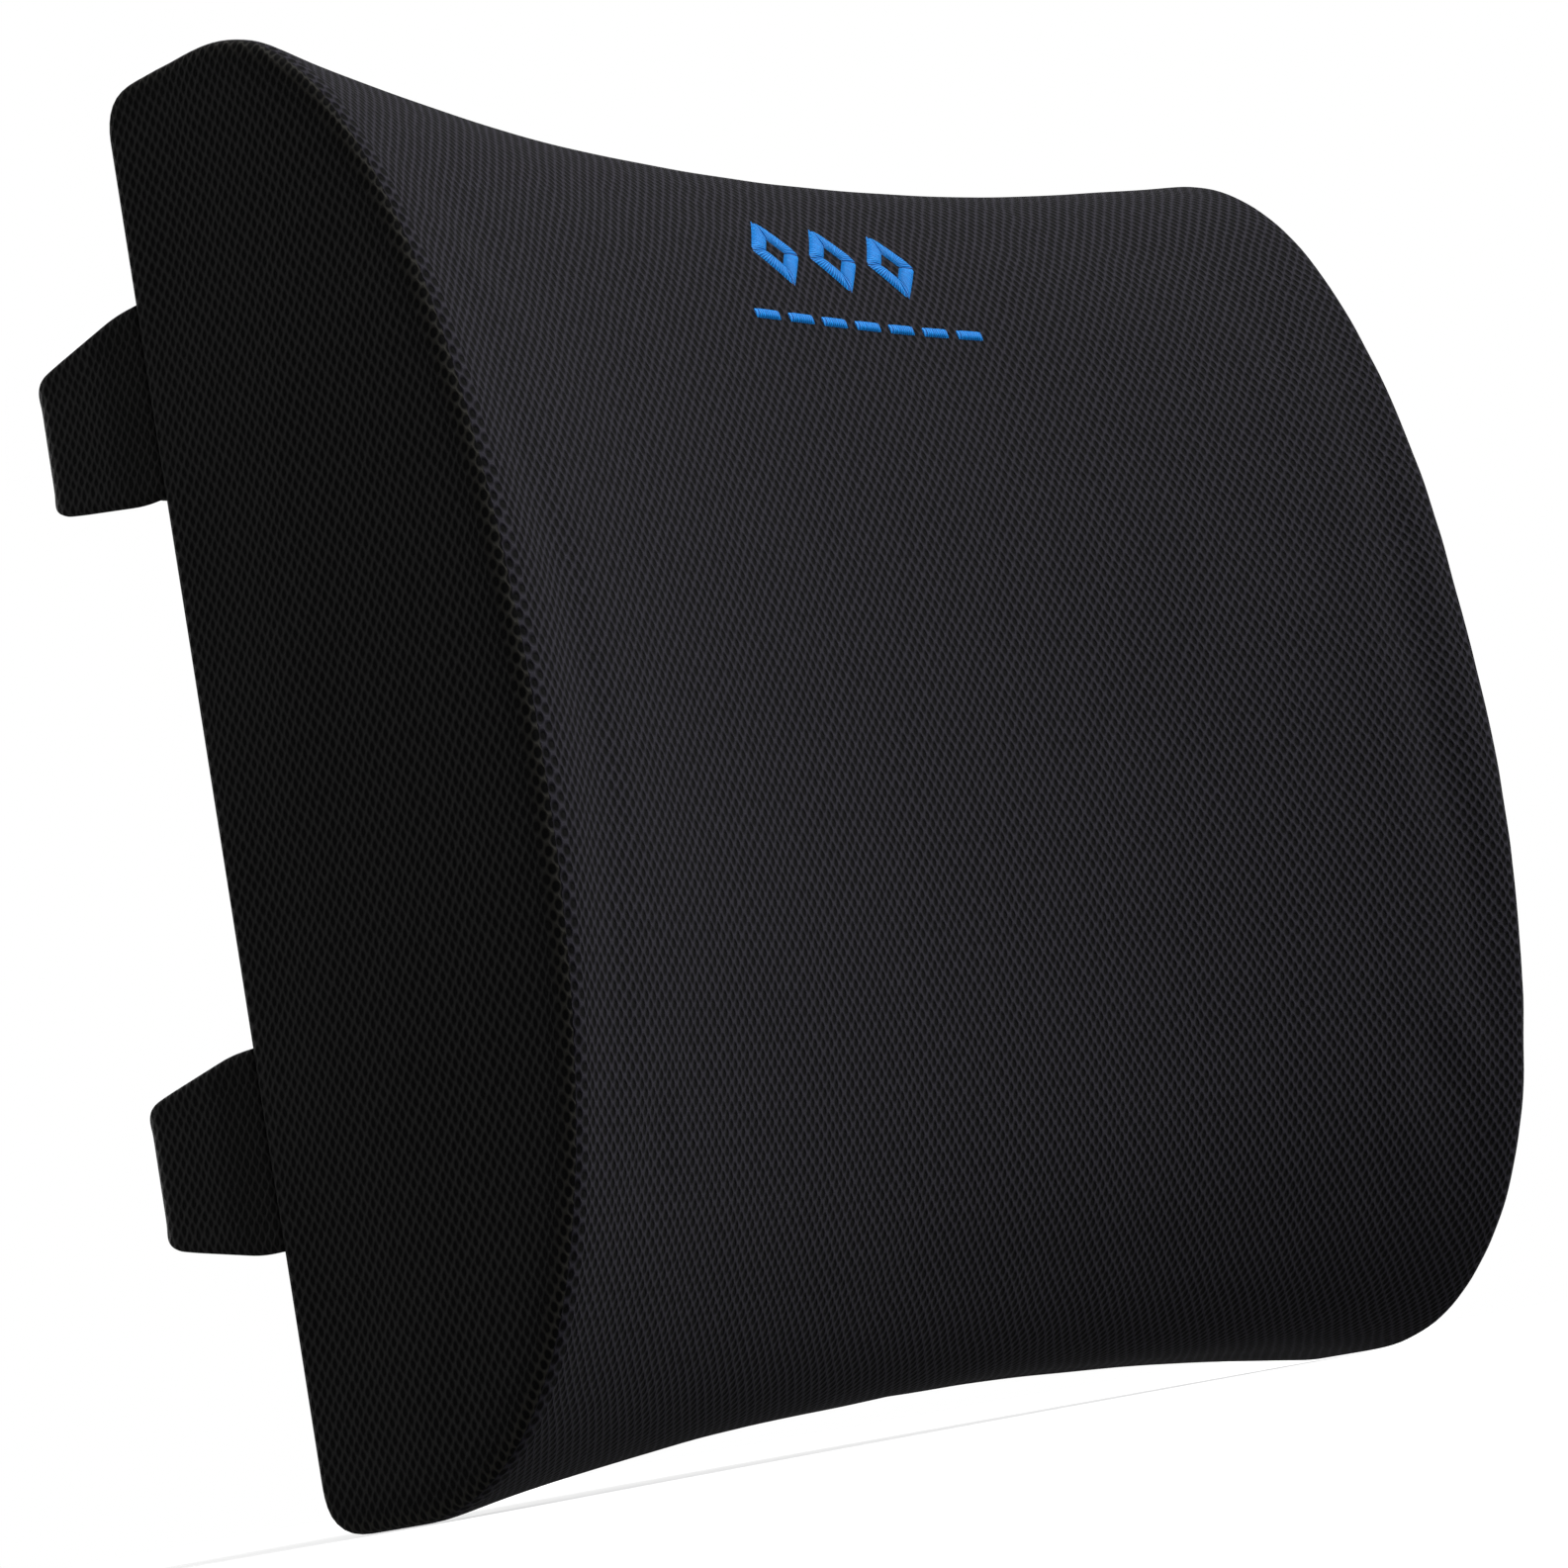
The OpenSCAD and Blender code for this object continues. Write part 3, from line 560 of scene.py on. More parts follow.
def add_side(points, weave, faces, panels, base, panel):
    """Closes one end of the form with rows from its front to its back. base is the end ring's first point."""
    rows = []
    for j in range(FRONT_STEPS + 1):
        front_index = base + j
        back_index = base + (RING - j) % RING
        if front_index == back_index or j == FRONT_STEPS:
            rows.append([front_index] * (SIDE_STEPS + 1))
            continue
        row = [front_index]
        for s in range(1, SIDE_STEPS):
            share = s / SIDE_STEPS
            row.append(len(points))
            points.append(points[front_index] * (1 - share) + points[back_index] * share)
            weave.append((0, 0, 0))
        rows.append(row + [back_index])
    for low, high in zip(rows, rows[1:]):
        for s in range(SIDE_STEPS):
            corners = [low[s], low[s + 1], high[s + 1], high[s]]
            corners = [c for n, c in enumerate(corners) if c != corners[n - 1]]
            if len(corners) > 2:
                faces.append(tuple(corners[::-1] if panel == LEFT else corners))
                panels.append(panel)


CLOTH_FRAMES = 20
CLOTH_SETTINGS = {
    "quality": 6, "mass": 0.2, "tension_stiffness": 12, "compression_stiffness": 12, "shear_stiffness": 6,
    "bending_stiffness": 1.5, "use_pressure": True, "uniform_pressure_force": 4, "vertex_group_mass": "held",
}
SEAM_HOLD = 2.5 * MM     # how far from a side seam the swelling cloth is held
BACK_HOLD = 6 * MM       # and how far from the back
LEAST_HOLD = 0.05        # a weaker hold is left out


def swell_with_cloth(points, faces, cap):
    """Lets the closed form swell as cloth under pressure, held at its edges. The foam keeps the cloth from
    sinking in, and no point swells out further than cap."""
    form = new_piece("swelling_form", points, faces)
    held = form.vertex_groups.new(name="held")
    edge = SKIRT_X + SEAM_ACROSS
    for index, p in enumerate(points):
        at_seam = math.exp(-((abs(p[0]) - edge) / SEAM_HOLD) ** 2)
        at_back = math.exp(-((p[1] - BACK_Y) / BACK_HOLD) ** 2)
        weight = max(at_seam, 0.9 * at_back)
        if weight > LEAST_HOLD:
            held.add([index], weight, "REPLACE")
    cloth = add_modifier(form, "CLOTH")
    for key, value in CLOTH_SETTINGS.items():
        setattr(cloth.settings, key, value)
    cloth.settings.effector_weights.gravity = 0
    cloth.point_cache.frame_start = 1
    cloth.point_cache.frame_end = CLOTH_FRAMES
    for number in range(1, CLOTH_FRAMES + 1):
        bpy.context.scene.frame_set(number)
    swollen = points_of(form.evaluated_get(bpy.context.evaluated_depsgraph_get()).data)
    bpy.context.scene.frame_set(1)
    bpy.data.objects.remove(form)
    normals = vertex_normals(points, faces)
    outwards = np.maximum(0, ((swollen - points) * normals).sum(axis=1))
    return points + normals * (cap * np.tanh(outwards / cap))[:, None]


NOISE_WAVES = 9
NOISE_GAIN = 1.8         # brings the mean of the waves near -1 and 1


def wave_noise(points, size, height, seed):
    """Smooth noise, mostly from -height to height, made of a few plane waves of about that size."""
    random = np.random.default_rng(seed)
    total = np.zeros(len(points))
    for _ in range(NOISE_WAVES):
        direction = random.normal(size=3)
        direction /= np.linalg.norm(direction)
        total += np.sin(points @ direction * 2 * math.pi / size + random.uniform(0, 2 * math.pi))
    return total / NOISE_WAVES * NOISE_GAIN * height


def vertex_normals(points, faces):
    mesh = bpy.data.meshes.new("normals")
    mesh.from_pydata([tuple(p) for p in points], [], [list(f) for f in faces])
    mesh.update()
    normals = np.array([v.normal for v in mesh.vertices])
    bpy.data.meshes.remove(mesh)
    return normals


COVER_SWELL = 1.4 * MM
SEWN_TUCK = 0.3 * MM     # how far the seams pull the cover in
FLOOR_GAP = 0.2 * MM     # the lowest that the cover sags where it stands
BACK_REACH = 9 * MM      # the cover keeps its exact form at the back, over about this depth
LUMPS = ((70 * MM, 0.4 * MM, 3), (24 * MM, 0.1 * MM, 5))     # size, height and random seed
PUCKERS = (9 * MM, 0.18 * MM, 8)                             # the same, beside the side seams
PUCKER_REACH = 2.5 * MM
GROOVE_DEPTH = 0.15 * MM
GROOVE_REACH = 1 * MM


def cover_surface():
    """The cover's swollen surface, with the points it had at rest, its faces, their panels and the weave."""
    rest, faces, panels, weave = cushion_form(HALF_W)
    shape = rest.copy()
    normals = vertex_normals(rest, faces)
    near_back = np.exp(-((rest[:, 1] - BACK_Y) / BACK_REACH) ** 2)
    tucked = rest - normals * SEWN_TUCK
    swollen = swell_with_cloth(tucked, faces, COVER_SWELL)
    shape = rest + (swollen - rest) * (1 - near_back)[:, None]
    normals = vertex_normals(shape, faces)
    seam_gap = abs(weave[:, 0]) * MM - SEAM_U
    lumps = sum(wave_noise(rest, *lump) for lump in LUMPS)
    puckers = wave_noise(rest, *PUCKERS) * np.exp(-(seam_gap / PUCKER_REACH) ** 2)
    groove = GROOVE_DEPTH * np.exp(-(seam_gap / GROOVE_REACH) ** 2)
    shape += normals * ((lumps + puckers) * (1 - near_back) - groove)[:, None]
    shape[:, 2] = np.maximum(shape[:, 2], FLOOR_GAP)
    return shape, rest, faces, panels, weave


def panel_piece(name, shape, faces, weave, chosen):
    """A piece of the chosen faces alone."""
    used = sorted({index for f in chosen for index in faces[f]})
    place = {old: new for new, old in enumerate(used)}
    return new_piece(name, shape[used], [[place[i] for i in faces[f]] for f in chosen], weave[used])


SHARP_ANGLE = math.radians(55)


def thicken(piece, thickness):
    """Smooths a cloth and gives it a thickness, inwards from its surface."""
    add_modifier(piece, "SUBSURF", levels=1, render_levels=1)
    add_modifier(piece, "SOLIDIFY", thickness=thickness, offset=-1, use_even_offset=False)
    settle(piece)
    piece.data.set_sharp_from_angle(angle=SHARP_ANGLE)
    return piece


def unrolled(length_left):
    """The side's outline laid flat, at the ring with that much cloth left between it and the flat middle."""
    return inset(closed_outline(), SEAM_ROUND - length_left)


STRETCH_REACH = 5.5 * MM     # how far from the side seam the side panel's holes are pulled wider, and its colour made lighter and browner


def side_coordinates(rest):
    """(y mm, z mm, closeness to the seam along the front) of the side panels' cloth, laid flat."""
    flat = np.stack([rest[:, 1] - BACK_Y, rest[:, 2]], axis=1)
    for i, (_, _, u) in enumerate(ring_stations(HALF_W)):
        if abs(u) > SKIRT_X:
            flat[i * RING:(i + 1) * RING] = unrolled(SKIRT_X + ROLL_LENGTH - abs(u))
    seam = unrolled(ROLL_LENGTH - SEAM_LENGTH)[:FRONT_STEPS]
    gap = np.array([np.min(np.linalg.norm(seam - p, axis=1)) for p in flat])
    closeness = np.exp(-(gap / STRETCH_REACH) ** 2)
    return np.stack([flat[:, 0] / MM, flat[:, 1] / MM, closeness], axis=1)


SLOT_END = 161 * MM      # the zip's slot is sewn shut beyond this
CLOTH_SHARE = 0.8        # of the cover's thickness, so that its lumps stay clear of the liner


def make_cover():
    """The sewn panels of the cover, by the name of the node that each stands for."""
    shape, rest, faces, panels, weave = cover_surface()
    side_weave = side_coordinates(rest)
    back_weave = np.stack([weave[:, 0], rest[:, 2] / MM, np.zeros(len(rest))], axis=1)
    centres = np.array([rest[list(f)].mean(axis=0) for f in faces])
    panels = np.array(panels)
    shut = (np.abs(centres[:, 0]) > SLOT_END) * (ZIP_HIGH - ZIP_LOW) / 2
    upper = (panels == BACK) & (centres[:, 2] > ZIP_HIGH - shut)
    lower = (panels == BACK) & (centres[:, 2] < ZIP_LOW + shut)
    layout = [
        ("front_panel_cloth", panels == FRONT, weave, FRONT_MESH, "front_panel", "front_mesh"),
        ("left_side_cloth", panels == LEFT, side_weave, SIDE_MESH, "left_side_panel", "side_mesh"),
        ("right_side_cloth", panels == RIGHT, side_weave, SIDE_MESH, "right_side_panel", "side_mesh"),
        ("back_cloth", upper, back_weave, SIDE_MESH, "back_panel", "front_mesh"),
        ("lower_back_cloth", lower, back_weave, SIDE_MESH, "lower_back_panel", "front_mesh"),
    ]
    cloths = {}
    for name, mask, coordinates, material, node, slot in layout:
        cloth = panel_piece(name, shape, faces, coordinates, np.nonzero(mask)[0])
        piece = thicken(cloth, COVER_T * CLOTH_SHARE)
        finish_piece(piece, material, "cushion", slot, node)
        cloths[node] = piece
    return cloths


COVER = make_cover()


# ---- Core and liner ----

LINER_GAP = 0.9 * MM
LINER_T = 0.8 * MM
LINER_SHARE = 0.7        # of its thickness that the cloth takes
CORE_GAP = 0.2 * MM
LINER_DEPTH = COVER_T + LINER_GAP
CORE_DEPTH = LINER_DEPTH + LINER_T + CORE_GAP
LINER_ROOM = BACK_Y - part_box("liner_sleeve")[1].y
CORE_ROOM = BACK_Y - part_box("foam_core")[1].y


def make_core():
    points, faces, _, weave = cushion_form(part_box("foam_core")[1].x, CORE_DEPTH, CORE_ROOM)
    core = new_piece("foam_block", points, faces, weave)
    finish_piece(core, FOAM, "cushion", "foam", "foam_core")


def make_liner():
    points, faces, panels, weave = cushion_form(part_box("liner_sleeve")[1].x, LINER_DEPTH, LINER_ROOM)
    ends = np.stack([points[:, 1] / MM, points[:, 2] / MM, np.zeros(len(points))], axis=1)
    panels = np.array(panels)
    layout = [
        ("liner_sleeve_cloth", (panels == FRONT) | (panels == BACK), weave, "liner_sleeve"),
        ("liner_left_cloth", panels == LEFT, ends, "liner_left_end"),
        ("liner_right_cloth", panels == RIGHT, ends, "liner_right_end"),
    ]
    for name, mask, coordinates, node in layout:
        piece = panel_piece(name, points, faces, coordinates, np.nonzero(mask)[0])
        add_modifier(piece, "SOLIDIFY", thickness=LINER_T * LINER_SHARE, offset=-1)
        finish_piece(settle(piece), LINER, "cushion", "liner", node)


make_core()
make_liner()


# ---- Ribbons: tabs and webbing ----

HALF_SHARES = (0.25, 0.5, 0.72, 0.8, 0.88, 0.95, 0.985, 1)   # of a ribbon's half width, from its middle out
EDGE_ROUND = 0.05            # the share of the half width over which its edge is rounded
EDGE_LEAST = 0.15            # the thickness at its very edge, as a share
HEM_AT, HEM_SPREAD = 0.88, 0.1


def ribbon(name, path, half_widths, thickness, centre_z, hem=0.0, stretch_and_shade=0.0):
    """A flat strap along a path of (x, y) points, its width upright, with rounded edges and, if asked, a hem
    and a length at its start where its holes are pulled wider and its colour is painted darker, as shade by
    the cushion."""
    path = np.array(path)
    along = lengths_along(path)
    ahead = np.gradient(path, axis=0)
    ahead /= np.linalg.norm(ahead, axis=1)[:, None]
    out = np.stack([ahead[:, 1], -ahead[:, 0]], axis=1)
    shares = np.array([-share for share in reversed(HALF_SHARES)] + [0, *HALF_SHARES])
    edge = np.clip((1 - np.abs(shares)) / EDGE_ROUND, 0, 1)
    body = np.sqrt(1 - (1 - edge) ** 2) * (1 - EDGE_LEAST) + EDGE_LEAST
    raised = 1 + hem * np.exp(-((np.abs(shares) - HEM_AT) / HEM_SPREAD) ** 4)
    half_t = thickness / 2 * body * raised
    rows, cols = len(path), len(shares)
    points, weave = [], []
    for side in (1, -1):
        for i in range(rows):
            for k in range(cols):
                x, y = path[i] + out[i] * side * half_t[k]
                z = centre_z + half_widths[i] * shares[k]
                points.append((x, y, z))
                closeness = math.exp(-(along[i] / stretch_and_shade) ** 4) if stretch_and_shade else 0
                weave.append((along[i] / MM, (z - centre_z) / MM, closeness))
    base = rows * cols
    faces = []
    for i in range(rows - 1):
        for k in range(cols - 1):
            a = i * cols + k
            b, c, d = a + 1, a + cols + 1, a + cols
            faces.append((d, c, b, a))
            faces.append((base + a, base + b, base + c, base + d))
        for k, flip in ((0, True), (cols - 1, False)):
            a = i * cols + k
            d = a + cols
            quad = (a, d, base + d, base + a)
            faces.append(quad[::-1] if flip else quad)
    for i, flip in ((0, False), (rows - 1, True)):
        for k in range(cols - 1):
            a = i * cols + k
            b = a + 1
            quad = (a, b, base + b, base + a)
            faces.append(quad[::-1] if flip else quad)
    piece = new_piece(name, points, faces, weave)
    add_modifier(piece, "SUBSURF", levels=1, render_levels=1)
    return settle(piece)


SAME_POINT = 0.05 * MM


def line(start, end, step):
    """Points from start to end, about a step apart."""
    start, end = np.array(start), np.array(end)
    count = max(2, int(np.linalg.norm(end - start) / step) + 1)
    return [start + (end - start) * t for t in np.linspace(0, 1, count)]


def joined(*parts):
    """Point lists end to end, without the doubled points between them."""
    points = []
    for part in parts:
        for p in part:
            if not points or np.linalg.norm(np.array(p) - points[-1]) > SAME_POINT:
                points.append(np.array(p))
    return points


TAB_STEP = 1.6 * MM
TAB_MARKS = (0.0, 0.24, 0.9, 1.02, 1.1, 1.17, 1.3, 1.5)      # along a tab, as shares of its straight run
TAB_HALVES = tuple(h * MM for h in (22.0, 21.8, 17.4, 16.4, 15.1, 13.2, 11.2, 11.0))
TAB_INSIDE = 1.2 * MM        # how far the tab starts inside the seam
TAB_BEND = 7 * MM
TAB_BEND_STEPS = 12
TAB_END_ROUND = 5 * MM
TAB_END_KEPT = 0.98          # the share of the full rounding that is used
TAB_SMOOTH = 5               # width samples that are averaged
TAB_HEM = 0.22
# length at the tab's root where its holes are pulled wider and its colour painted darker, as shade by the
# cushion
TAB_STRETCH_AND_SHADE = 14 * MM


def tab_piece(strap, side):
    """One whole tab: from inside the side seam, back and round the corner, to its rounded end."""
    sign = -1 if side == "left" else 1
    low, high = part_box(f"{strap}_{side}_tab")
    root_low, root_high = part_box(f"{strap}_{side}_tab_root")
    centre_z = (low.z + high.z) / 2
    thickness = root_high.x - root_low.x
    outer_x = max(abs(low.x), abs(high.x)) - thickness / 2
    end_x = min(abs(low.x), abs(high.x))
    far_y = high.y - thickness / 2
    corner = (outer_x - TAB_BEND, far_y - TAB_BEND)
    path = joined(
        line((outer_x, BACK_Y - TAB_INSIDE), (outer_x, corner[1]), TAB_STEP),
        arc_points(corner, TAB_BEND, 0, 90, TAB_BEND_STEPS),
        line((corner[0], far_y), (end_x, far_y), TAB_STEP),
    )
    along = lengths_along(np.array(path))
    run = corner[1] - path[0][1]
    half = np.interp(along, np.array(TAB_MARKS) * run, TAB_HALVES)
    padded = np.pad(half, TAB_SMOOTH // 2, mode="edge")
    half = np.convolve(padded, np.ones(TAB_SMOOTH) / TAB_SMOOTH, mode="valid")
    past = np.clip(along - (along[-1] - TAB_END_ROUND), 0, TAB_END_ROUND)
    half -= TAB_END_ROUND - np.sqrt(TAB_END_ROUND ** 2 - past ** 2 * TAB_END_KEPT)
    path = [(sign * x, y) for x, y in path]
    tab = ribbon(f"{strap}_{side}_tab_cloth", path, half, thickness, centre_z, TAB_HEM, TAB_STRETCH_AND_SHADE)
    finish_piece(tab, STRAP_MESH, None, "strap_mesh", f"{strap}_{side}_tab", f"{strap}_{side}_tab_root")
    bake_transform(tab)


WEBBING_STEP = 4 * MM        # along straight webbing
SLOPE_STEP = 2 * MM
LOOP_STEP = 1.5 * MM
LOOP_BEND_STEPS = 12
BAR_R = 2.2 * MM             # of the socket's bar
BAR_GAP = 0.15 * MM          # between the bar and the webbing round it
LOOP_SHORT = 2 * MM          # the loop's straight sides end this far before the bar's middle
JOIN_RUN = 16 * MM           # from the bar to where the loop's two layers meet
LEAD_RUN = 28 * MM           # on from there to where the webbing is back on its straight run
LAP_RUN = 14 * MM            # length of the loop's end, sewn down on the webbing
LAP_DROP = 1.2 * MM
LAP_SHARE = 0.52             # of the webbing's thickness, half the distance between the two layers
LADDER_R = 2.0 * MM          # of the plug's bar
LADDER_LEAD = 0.5 * MM       # the tail runs straight until this far before its turn
LADDER_BEND_STEPS = 10


def even_ribbon(name, path, low, high, thickness):
    """A ribbon as wide as the box from low to high is high."""
    return ribbon(name, path, np.full(len(path), (high.z - low.z) / 2), thickness, (low.z + high.z) / 2)


def fixed_webbing(strap):
    """The sewn webbing, looped round the socket's bar and lapped back on itself."""
    bar_low, bar_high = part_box(f"{strap}_buckle_socket")
    low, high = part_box(f"{strap}_fixed_webbing")
    run_low, run_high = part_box(f"{strap}_adjuster_webbing")
    thickness = run_high.y - run_low.y
    run_y = (run_low.y + run_high.y) / 2
    buckle_y = (bar_low.y + bar_high.y) / 2
    bar_x = bar_low.x + BAR_R
    wrap_r = BAR_R + thickness / 2 + BAR_GAP
    join_x = bar_x - JOIN_RUN
    lead_x = join_x - LEAD_RUN
    lap = thickness * LAP_SHARE
    path = joined(
        line((low.x, run_y), (lead_x, run_y), WEBBING_STEP),
        line((lead_x, run_y), (join_x, buckle_y - lap), SLOPE_STEP),
        line((join_x, buckle_y - lap), (bar_x - LOOP_SHORT, buckle_y - wrap_r), LOOP_STEP),
        arc_points((bar_x, buckle_y), wrap_r, -90, 90, LOOP_BEND_STEPS),
        line((bar_x - LOOP_SHORT, buckle_y + wrap_r), (join_x, buckle_y + lap), LOOP_STEP),
        line((join_x, buckle_y + lap), (join_x - LAP_RUN, buckle_y + lap - LAP_DROP), SLOPE_STEP),
    )
    fixed = even_ribbon(f"{strap}_fixed_webbing_cloth", path, low, high, thickness)
    finish_piece(fixed, WEBBING, f"{strap}_strap", "webbing", f"{strap}_fixed_webbing")


def adjuster_webbing(strap):
    """The straight run between the tab and the plug, which on the real strap gets shorter as the plug slides
    out.
    """
    low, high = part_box(f"{strap}_adjuster_webbing")
    run_y = (low.y + high.y) / 2
    path = line((high.x, run_y), (low.x, run_y), WEBBING_STEP)
    run = even_ribbon(f"{strap}_adjuster_webbing_cloth", path, low, high, high.y - low.y)
    finish_piece(run, WEBBING, f"{strap}_strap", "webbing", f"{strap}_adjuster_webbing")
    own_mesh(run)


def webbing_tail(strap):
    """The free end, which comes up round the plug's bar and lies back along the strap."""
    bar_low, bar_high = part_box(f"{strap}_buckle_socket")
    run_low, run_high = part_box(f"{strap}_adjuster_webbing")
    low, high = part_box(f"{strap}_webbing_tail")
    thickness = run_high.y - run_low.y
    buckle_y = (bar_low.y + bar_high.y) / 2
    ladder_x = low.x + LADDER_R + thickness
    turn_r = LADDER_R + thickness / 2
    outer_y = high.y - thickness / 2
    path = joined(
        [(ladder_x - turn_r, low.y), (ladder_x - turn_r, buckle_y - LADDER_LEAD)],
        arc_points((ladder_x, buckle_y), turn_r, 180, 90, LADDER_BEND_STEPS),
        line((ladder_x, outer_y), (high.x, outer_y), WEBBING_STEP),
    )
    tail = even_ribbon(f"{strap}_tail_cloth", path, low, high, thickness)
    finish_piece(tail, WEBBING, f"{strap}_plug", "webbing", f"{strap}_webbing_tail")


for strap_name in STRAPS:
    for side_name in SIDES:
        tab_piece(strap_name, side_name)
    fixed_webbing(strap_name)
    adjuster_webbing(strap_name)
    webbing_tail(strap_name)


# ---- Zip ----

ROD_PROFILE = (          # (share of the length, share of the radius) along a rounded rod
    (-0.5, 0.0), (-0.47, 0.6), (-0.38, 0.95), (-0.2, 1.0),
    (0.2, 1.0), (0.38, 0.95), (0.47, 0.6), (0.5, 0.0),
)
ROD_SIDES = 8


def rods(name, centres, direction, across, length, radius, squeeze=1.0):
    """Many small rounded rods in one mesh, each along direction. squeeze widens them away from across."""
    direction, across = Vector(direction).normalized(), Vector(across).normalized()
    third = direction.cross(across) * squeeze
    points, faces, weave = [], [], []
    for centre in centres:
        base = len(points)
        for share, size in ROD_PROFILE:
            for k in range(ROD_SIDES):
                angle = 2 * math.pi * k / ROD_SIDES
                offset = (across * math.cos(angle) + third * math.sin(angle)) * radius * size
                points.append(Vector(centre) + direction * share * length + offset)
                weave.append((share * length / MM, angle, 0))
        for i in range(len(ROD_PROFILE) - 1):
            for k in range(ROD_SIDES):
                m = (k + 1) % ROD_SIDES
                a = base + i * ROD_SIDES
                b = a + ROD_SIDES
                faces.append((a + k, a + m, b + m, b + k))
    return new_piece(name, points, faces, weave)


TOOTH_PITCH = 1.3 * MM
TOOTH_R = 0.52 * MM
TOOTH_SQUEEZE = 1.6
TOOTH_REACH = 0.5 * MM       # how much longer a tooth is than its CAD strip is wide
ROW_START, ROW_END = 0.6 * MM, 0.5 * MM
TAPE_STEP = 5 * MM


def zip_coil(side):
    """One row of teeth. The lower row is half a tooth along from the upper one."""
    low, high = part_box(f"zip_teeth_{side}")
    shift = TOOTH_PITCH / 2 if side == "lower" else 0
    y, z = (low.y + high.y) / 2, (low.z + high.z) / 2
    centres = [(x, y, z) for x in np.arange(low.x + ROW_START + shift, high.x - ROW_END, TOOTH_PITCH)]
    length = high.z - low.z + TOOTH_REACH
    coil = rods(f"zip_coil_{side}", centres, (0, 0, 1), (1, 0, 0), length, TOOTH_R, TOOTH_SQUEEZE)
    finish_piece(coil, COIL, "cushion", "zip_coil", f"zip_teeth_{side}")


def zip_tape(side):
    low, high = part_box(f"zip_tape_{side}")
    y = (low.y + high.y) / 2
    path = line((low.x, y), (high.x, y), TAPE_STEP)
    tape = even_ribbon(f"zip_tape_{side}_cloth", path, low, high, high.y - low.y)
    finish_piece(tape, ZIP_TAPE, "cushion", "zip_tape", f"zip_tape_{side}")


STITCH_PITCH = 3.0 * MM
STITCH_LENGTH = 2.3 * MM
STITCH_R = 0.32 * MM
SLOT_HEM = 2.2 * MM          # from the slot's edge to its stitches
BOX_INSET = 2.5 * MM         # from the webbing's edge to a box of stitches
BOX_NEAR = 3 * MM            # from the tab's end to the box
BOX_LENGTH = 12 * MM
STITCH_RISE = 0.05 * MM


def stitch_line(start, end):
    """Centres of the stitches along a straight seam."""
    start, end = Vector(start), Vector(end)
    count = int((end - start).length / STITCH_PITCH)
    return [start.lerp(end, (n + 0.5) / count) for n in range(count)]


def stitched_seam(name, centres, direction, across, body, slot):
    seam = rods(name, centres, direction, across, STITCH_LENGTH, STITCH_R)
    finish_piece(seam, STITCHING, body, slot)


def zip_stitches(edge, node, z):
    """A row of stitches on the back, beside one edge of the zip's slot."""
    places = []
    for centre in stitch_line((-SLOT_END, 0, z), (SLOT_END, 0, z)):
        places.append(COVER[node].ray_cast(Vector((centre.x, BACK_Y + 1, z)), Vector((0, -1, 0)))[1])
    stitched_seam(f"zip_stitches_{edge}", places, (1, 0, 0), (0, 0, 1), "cushion", "front_mesh")


def strap_stitches(strap, side):
    """A box of stitches where the tab lies over the webbing."""
    sign = -1 if side == "left" else 1
    low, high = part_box(f"{strap}_fixed_webbing")
    tab_low, tab_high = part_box(f"{strap}_{side}_tab")
    near = min(abs(tab_low.x), abs(tab_high.x)) + BOX_NEAR
    far = near + BOX_LENGTH
    y = tab_high.y + STITCH_RISE
    bottom, top = low.z + BOX_INSET, high.z - BOX_INSET
    along, up = [], []
    for z in (bottom, top):
        along += stitch_line((sign * near, y, z), (sign * far, y, z))
    for x in (near, far):
        up += stitch_line((sign * x, y, bottom), (sign * x, y, top))
    body = f"{strap}_strap"
    stitched_seam(f"{strap}_{side}_box_along", along, (1, 0, 0), (0, 0, 1), body, "strap_mesh")
    stitched_seam(f"{strap}_{side}_box_across", up, (0, 0, 1), (1, 0, 0), body, "strap_mesh")


for row in ("upper", "lower"):
    zip_coil(row)
    zip_tape(row)
zip_stitches("upper", "back_panel", ZIP_HIGH + SLOT_HEM)
zip_stitches("lower", "lower_back_panel", ZIP_LOW - SLOT_HEM)
for strap_name in STRAPS:
    for side_name in SIDES:
        strap_stitches(strap_name, side_name)


# ---- Embroidered motif ----

MOTIF_Z = 278 * MM
LOZENGE = (17 * MM, 20 * MM, 20.5 * MM)      # width, height and step
LOZENGE_OPEN = 0.36                          # size of its opening, as a share of its own
LOZENGES = (-1, 0, 1)                        # places, in steps from the middle
DASH = (9 * MM, 2.6 * MM, 12 * MM)           # width, height and step
DASH_Z = MOTIF_Z - 19 * MM
DASHES = range(-3, 4)
THREAD_RISE = 0.8 * MM
THREAD_SINK = 0.12                           # how deep the edges go in, as a share of the rise
PATCH_STEPS = (12, 8)


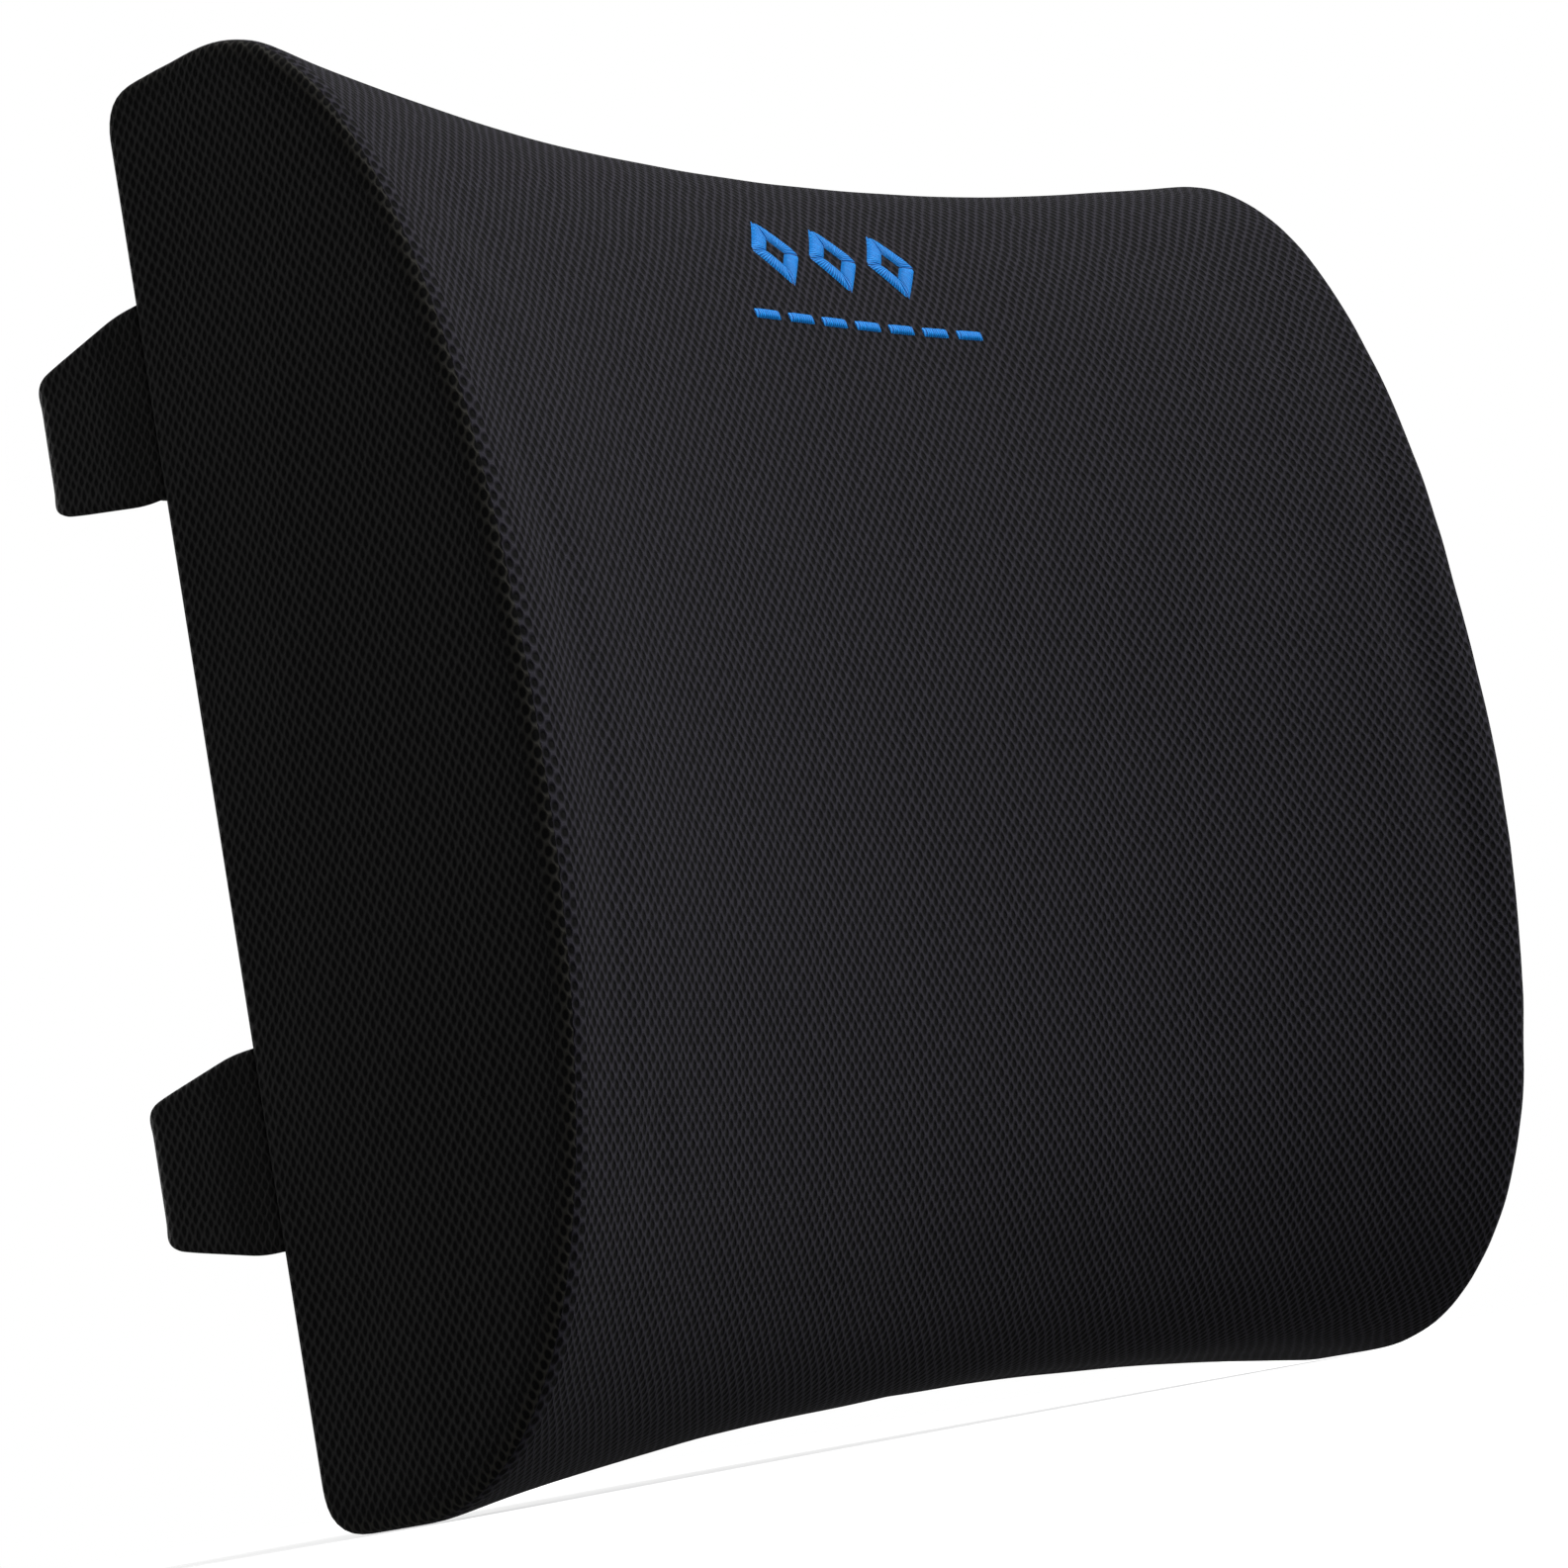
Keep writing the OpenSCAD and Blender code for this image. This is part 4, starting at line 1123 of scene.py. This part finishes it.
def stitched_patch(lists, surface, corners):
    """Adds one satin-stitched patch on the surface, its threads running from side a-b to side d-c."""
    points, faces, weave = lists
    a, b, c, d = (np.array(p) for p in corners)
    base = len(points)
    length = np.linalg.norm(b - a) / MM
    for s in np.linspace(0, 1, PATCH_STEPS[0] + 1):
        for t in np.linspace(0, 1, PATCH_STEPS[1] + 1):
            x, z = (a * (1 - s) + b * s) * (1 - t) + (d * (1 - s) + c * s) * t
            place, normal = surface.ray_cast(Vector((x, FRONT_Y - 1, z)), Vector((0, 1, 0)))[1:3]
            dome = (1 - (2 * s - 1) ** 8) * (1 - (2 * t - 1) ** 4)
            points.append(place + normal * THREAD_RISE * (dome - THREAD_SINK))
            weave.append((s * length, t, 0))
    row = PATCH_STEPS[1] + 1
    for i in range(PATCH_STEPS[0]):
        for k in range(PATCH_STEPS[1]):
            corner = base + i * row + k
            faces.append((corner, corner + row, corner + row + 1, corner + 1))


def make_motif():
    """Three open lozenges over a dashed line."""
    lists = ([], [], [])
    surface = COVER["front_panel"]
    width, height, step = LOZENGE
    for i in LOZENGES:
        centre = np.array([i * step, MOTIF_Z])
        tips = [np.array(p) for p in ((0, height / 2), (-width / 2, 0), (0, -height / 2), (width / 2, 0))]
        for k, tip in enumerate(tips):
            following = tips[(k + 1) % 4]
            corners = (tip, following, following * LOZENGE_OPEN, tip * LOZENGE_OPEN)
            stitched_patch(lists, surface, [centre + p for p in corners])
    width, height, step = DASH
    for i in DASHES:
        corners = ((width / 2, height / 2), (-width / 2, height / 2),
                   (-width / 2, -height / 2), (width / 2, -height / 2))
        stitched_patch(lists, surface, [np.array(p) + (i * step, DASH_Z) for p in corners])
    points, faces, weave = lists
    motif = new_piece("motif_stitches", points, faces, weave)
    finish_piece(motif, EMBROIDERY, "cushion", "embroidery", "emblem")


make_motif()


# ---- Bought-in parts that keep their CAD shape ----

BEVEL_ANGLE = math.radians(35)
BUCKLE_BEVEL = 0.5 * MM
METAL_BEVEL = 0.18 * MM


def dress(node, material, bevel):
    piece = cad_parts[node]
    piece.data.materials.clear()
    piece.data.materials.append(material)
    add_modifier(piece, "BEVEL", width=bevel, segments=3, limit_method="ANGLE", angle_limit=BEVEL_ANGLE)


for strap_name in STRAPS:
    for part in ("buckle_socket", "buckle_plug", "prong_above", "prong_below"):
        dress(f"{strap_name}_{part}", BUCKLE, BUCKLE_BEVEL)
for part in ("zip_slider", "zip_pull", "zip_top_stops", "zip_bottom_stop"):
    dress(part, ZIP_METAL, METAL_BEVEL)


# ---- Floor and light ----

FLOOR_HALF = 3.0
FLOOR_GLOW = 0.62            # the floor is partly lit by itself, so that it comes out white
WHITE = rgb(1, 1, 1)


def make_floor():
    """A plain pale floor that throws no light up at the object."""
    corners = [(x * FLOOR_HALF, y * FLOOR_HALF, 0) for x, y in ((-1, -1), (1, -1), (1, 1), (-1, 1))]
    floor = new_piece("floor", corners, [(0, 1, 2, 3)])
    floor.visible_diffuse = False
    floor.visible_glossy = False
    g = material_graph("floor_pale")
    grain = g.noise(g.node("ShaderNodeTexCoord").outputs["Object"], 3.0)
    g.surface(Base_Color=g.mix(grain, rgb(0.34, 0.34, 0.34), rgb(0.36, 0.36, 0.36)), Roughness=0.9,
              Specular_IOR_Level=0.0, Emission_Color=WHITE, Emission_Strength=FLOOR_GLOW)
    floor.data.materials.append(g.block)


def soft_sun(name, towards, strength, spread):
    """A broad distant lamp that shines from the direction towards. spread is its width in degrees."""
    data = bpy.data.lights.new(name, "SUN")
    data.energy = strength
    data.angle = math.radians(spread)
    lamp = bpy.data.objects.new(name, data)
    lamp.location = Vector(towards) * FLOOR_HALF
    lamp.rotation_mode = "QUATERNION"
    lamp.rotation_quaternion = Vector(towards).to_track_quat("Z", "Y")
    bpy.context.scene.collection.objects.link(lamp)


ROOM_LOW, ROOM_HIGH = 0.38, 0.70     # strength of the room's light from below and from above
ROOM_BAND = 0.5                      # it changes over this much of the direction's height, either way


def make_world():
    """A white backdrop for the camera, and for the object a soft room that is brighter above than below."""
    world = bpy.data.worlds.new("studio")
    bpy.context.scene.world = world
    g = Graph(world)
    direction = g.node("ShaderNodeTexCoord").outputs["Generated"]
    height = g.node("ShaderNodeSeparateXYZ", {"Vector": direction}).outputs["Z"]
    limits = {"From Min": -ROOM_BAND, "From Max": ROOM_BAND, "To Min": ROOM_LOW, "To Max": ROOM_HIGH}
    strength = g.node("ShaderNodeMapRange", {"Value": height, **limits}).outputs["Result"]
    room = g.tree.nodes["Background"]
    g.put(room.inputs["Color"], WHITE)
    g.put(room.inputs["Strength"], strength)
    backdrop = g.node("ShaderNodeBackground", {"Color": WHITE})
    seen = g.node("ShaderNodeLightPath").outputs["Is Camera Ray"]
    both = g.node("ShaderNodeMixShader", {0: seen, 1: room.outputs[0], 2: backdrop.outputs[0]})
    g.put(g.tree.nodes["World Output"].inputs["Surface"], both.outputs[0])


make_floor()
soft_sun("key", (0.33, -0.62, 0.70), 6.0, 46)
soft_sun("rear_fill", (0.3, 0.9, 0.3), 2.6, 40)
make_world()
bpy.context.scene.view_settings.view_transform = "Standard"
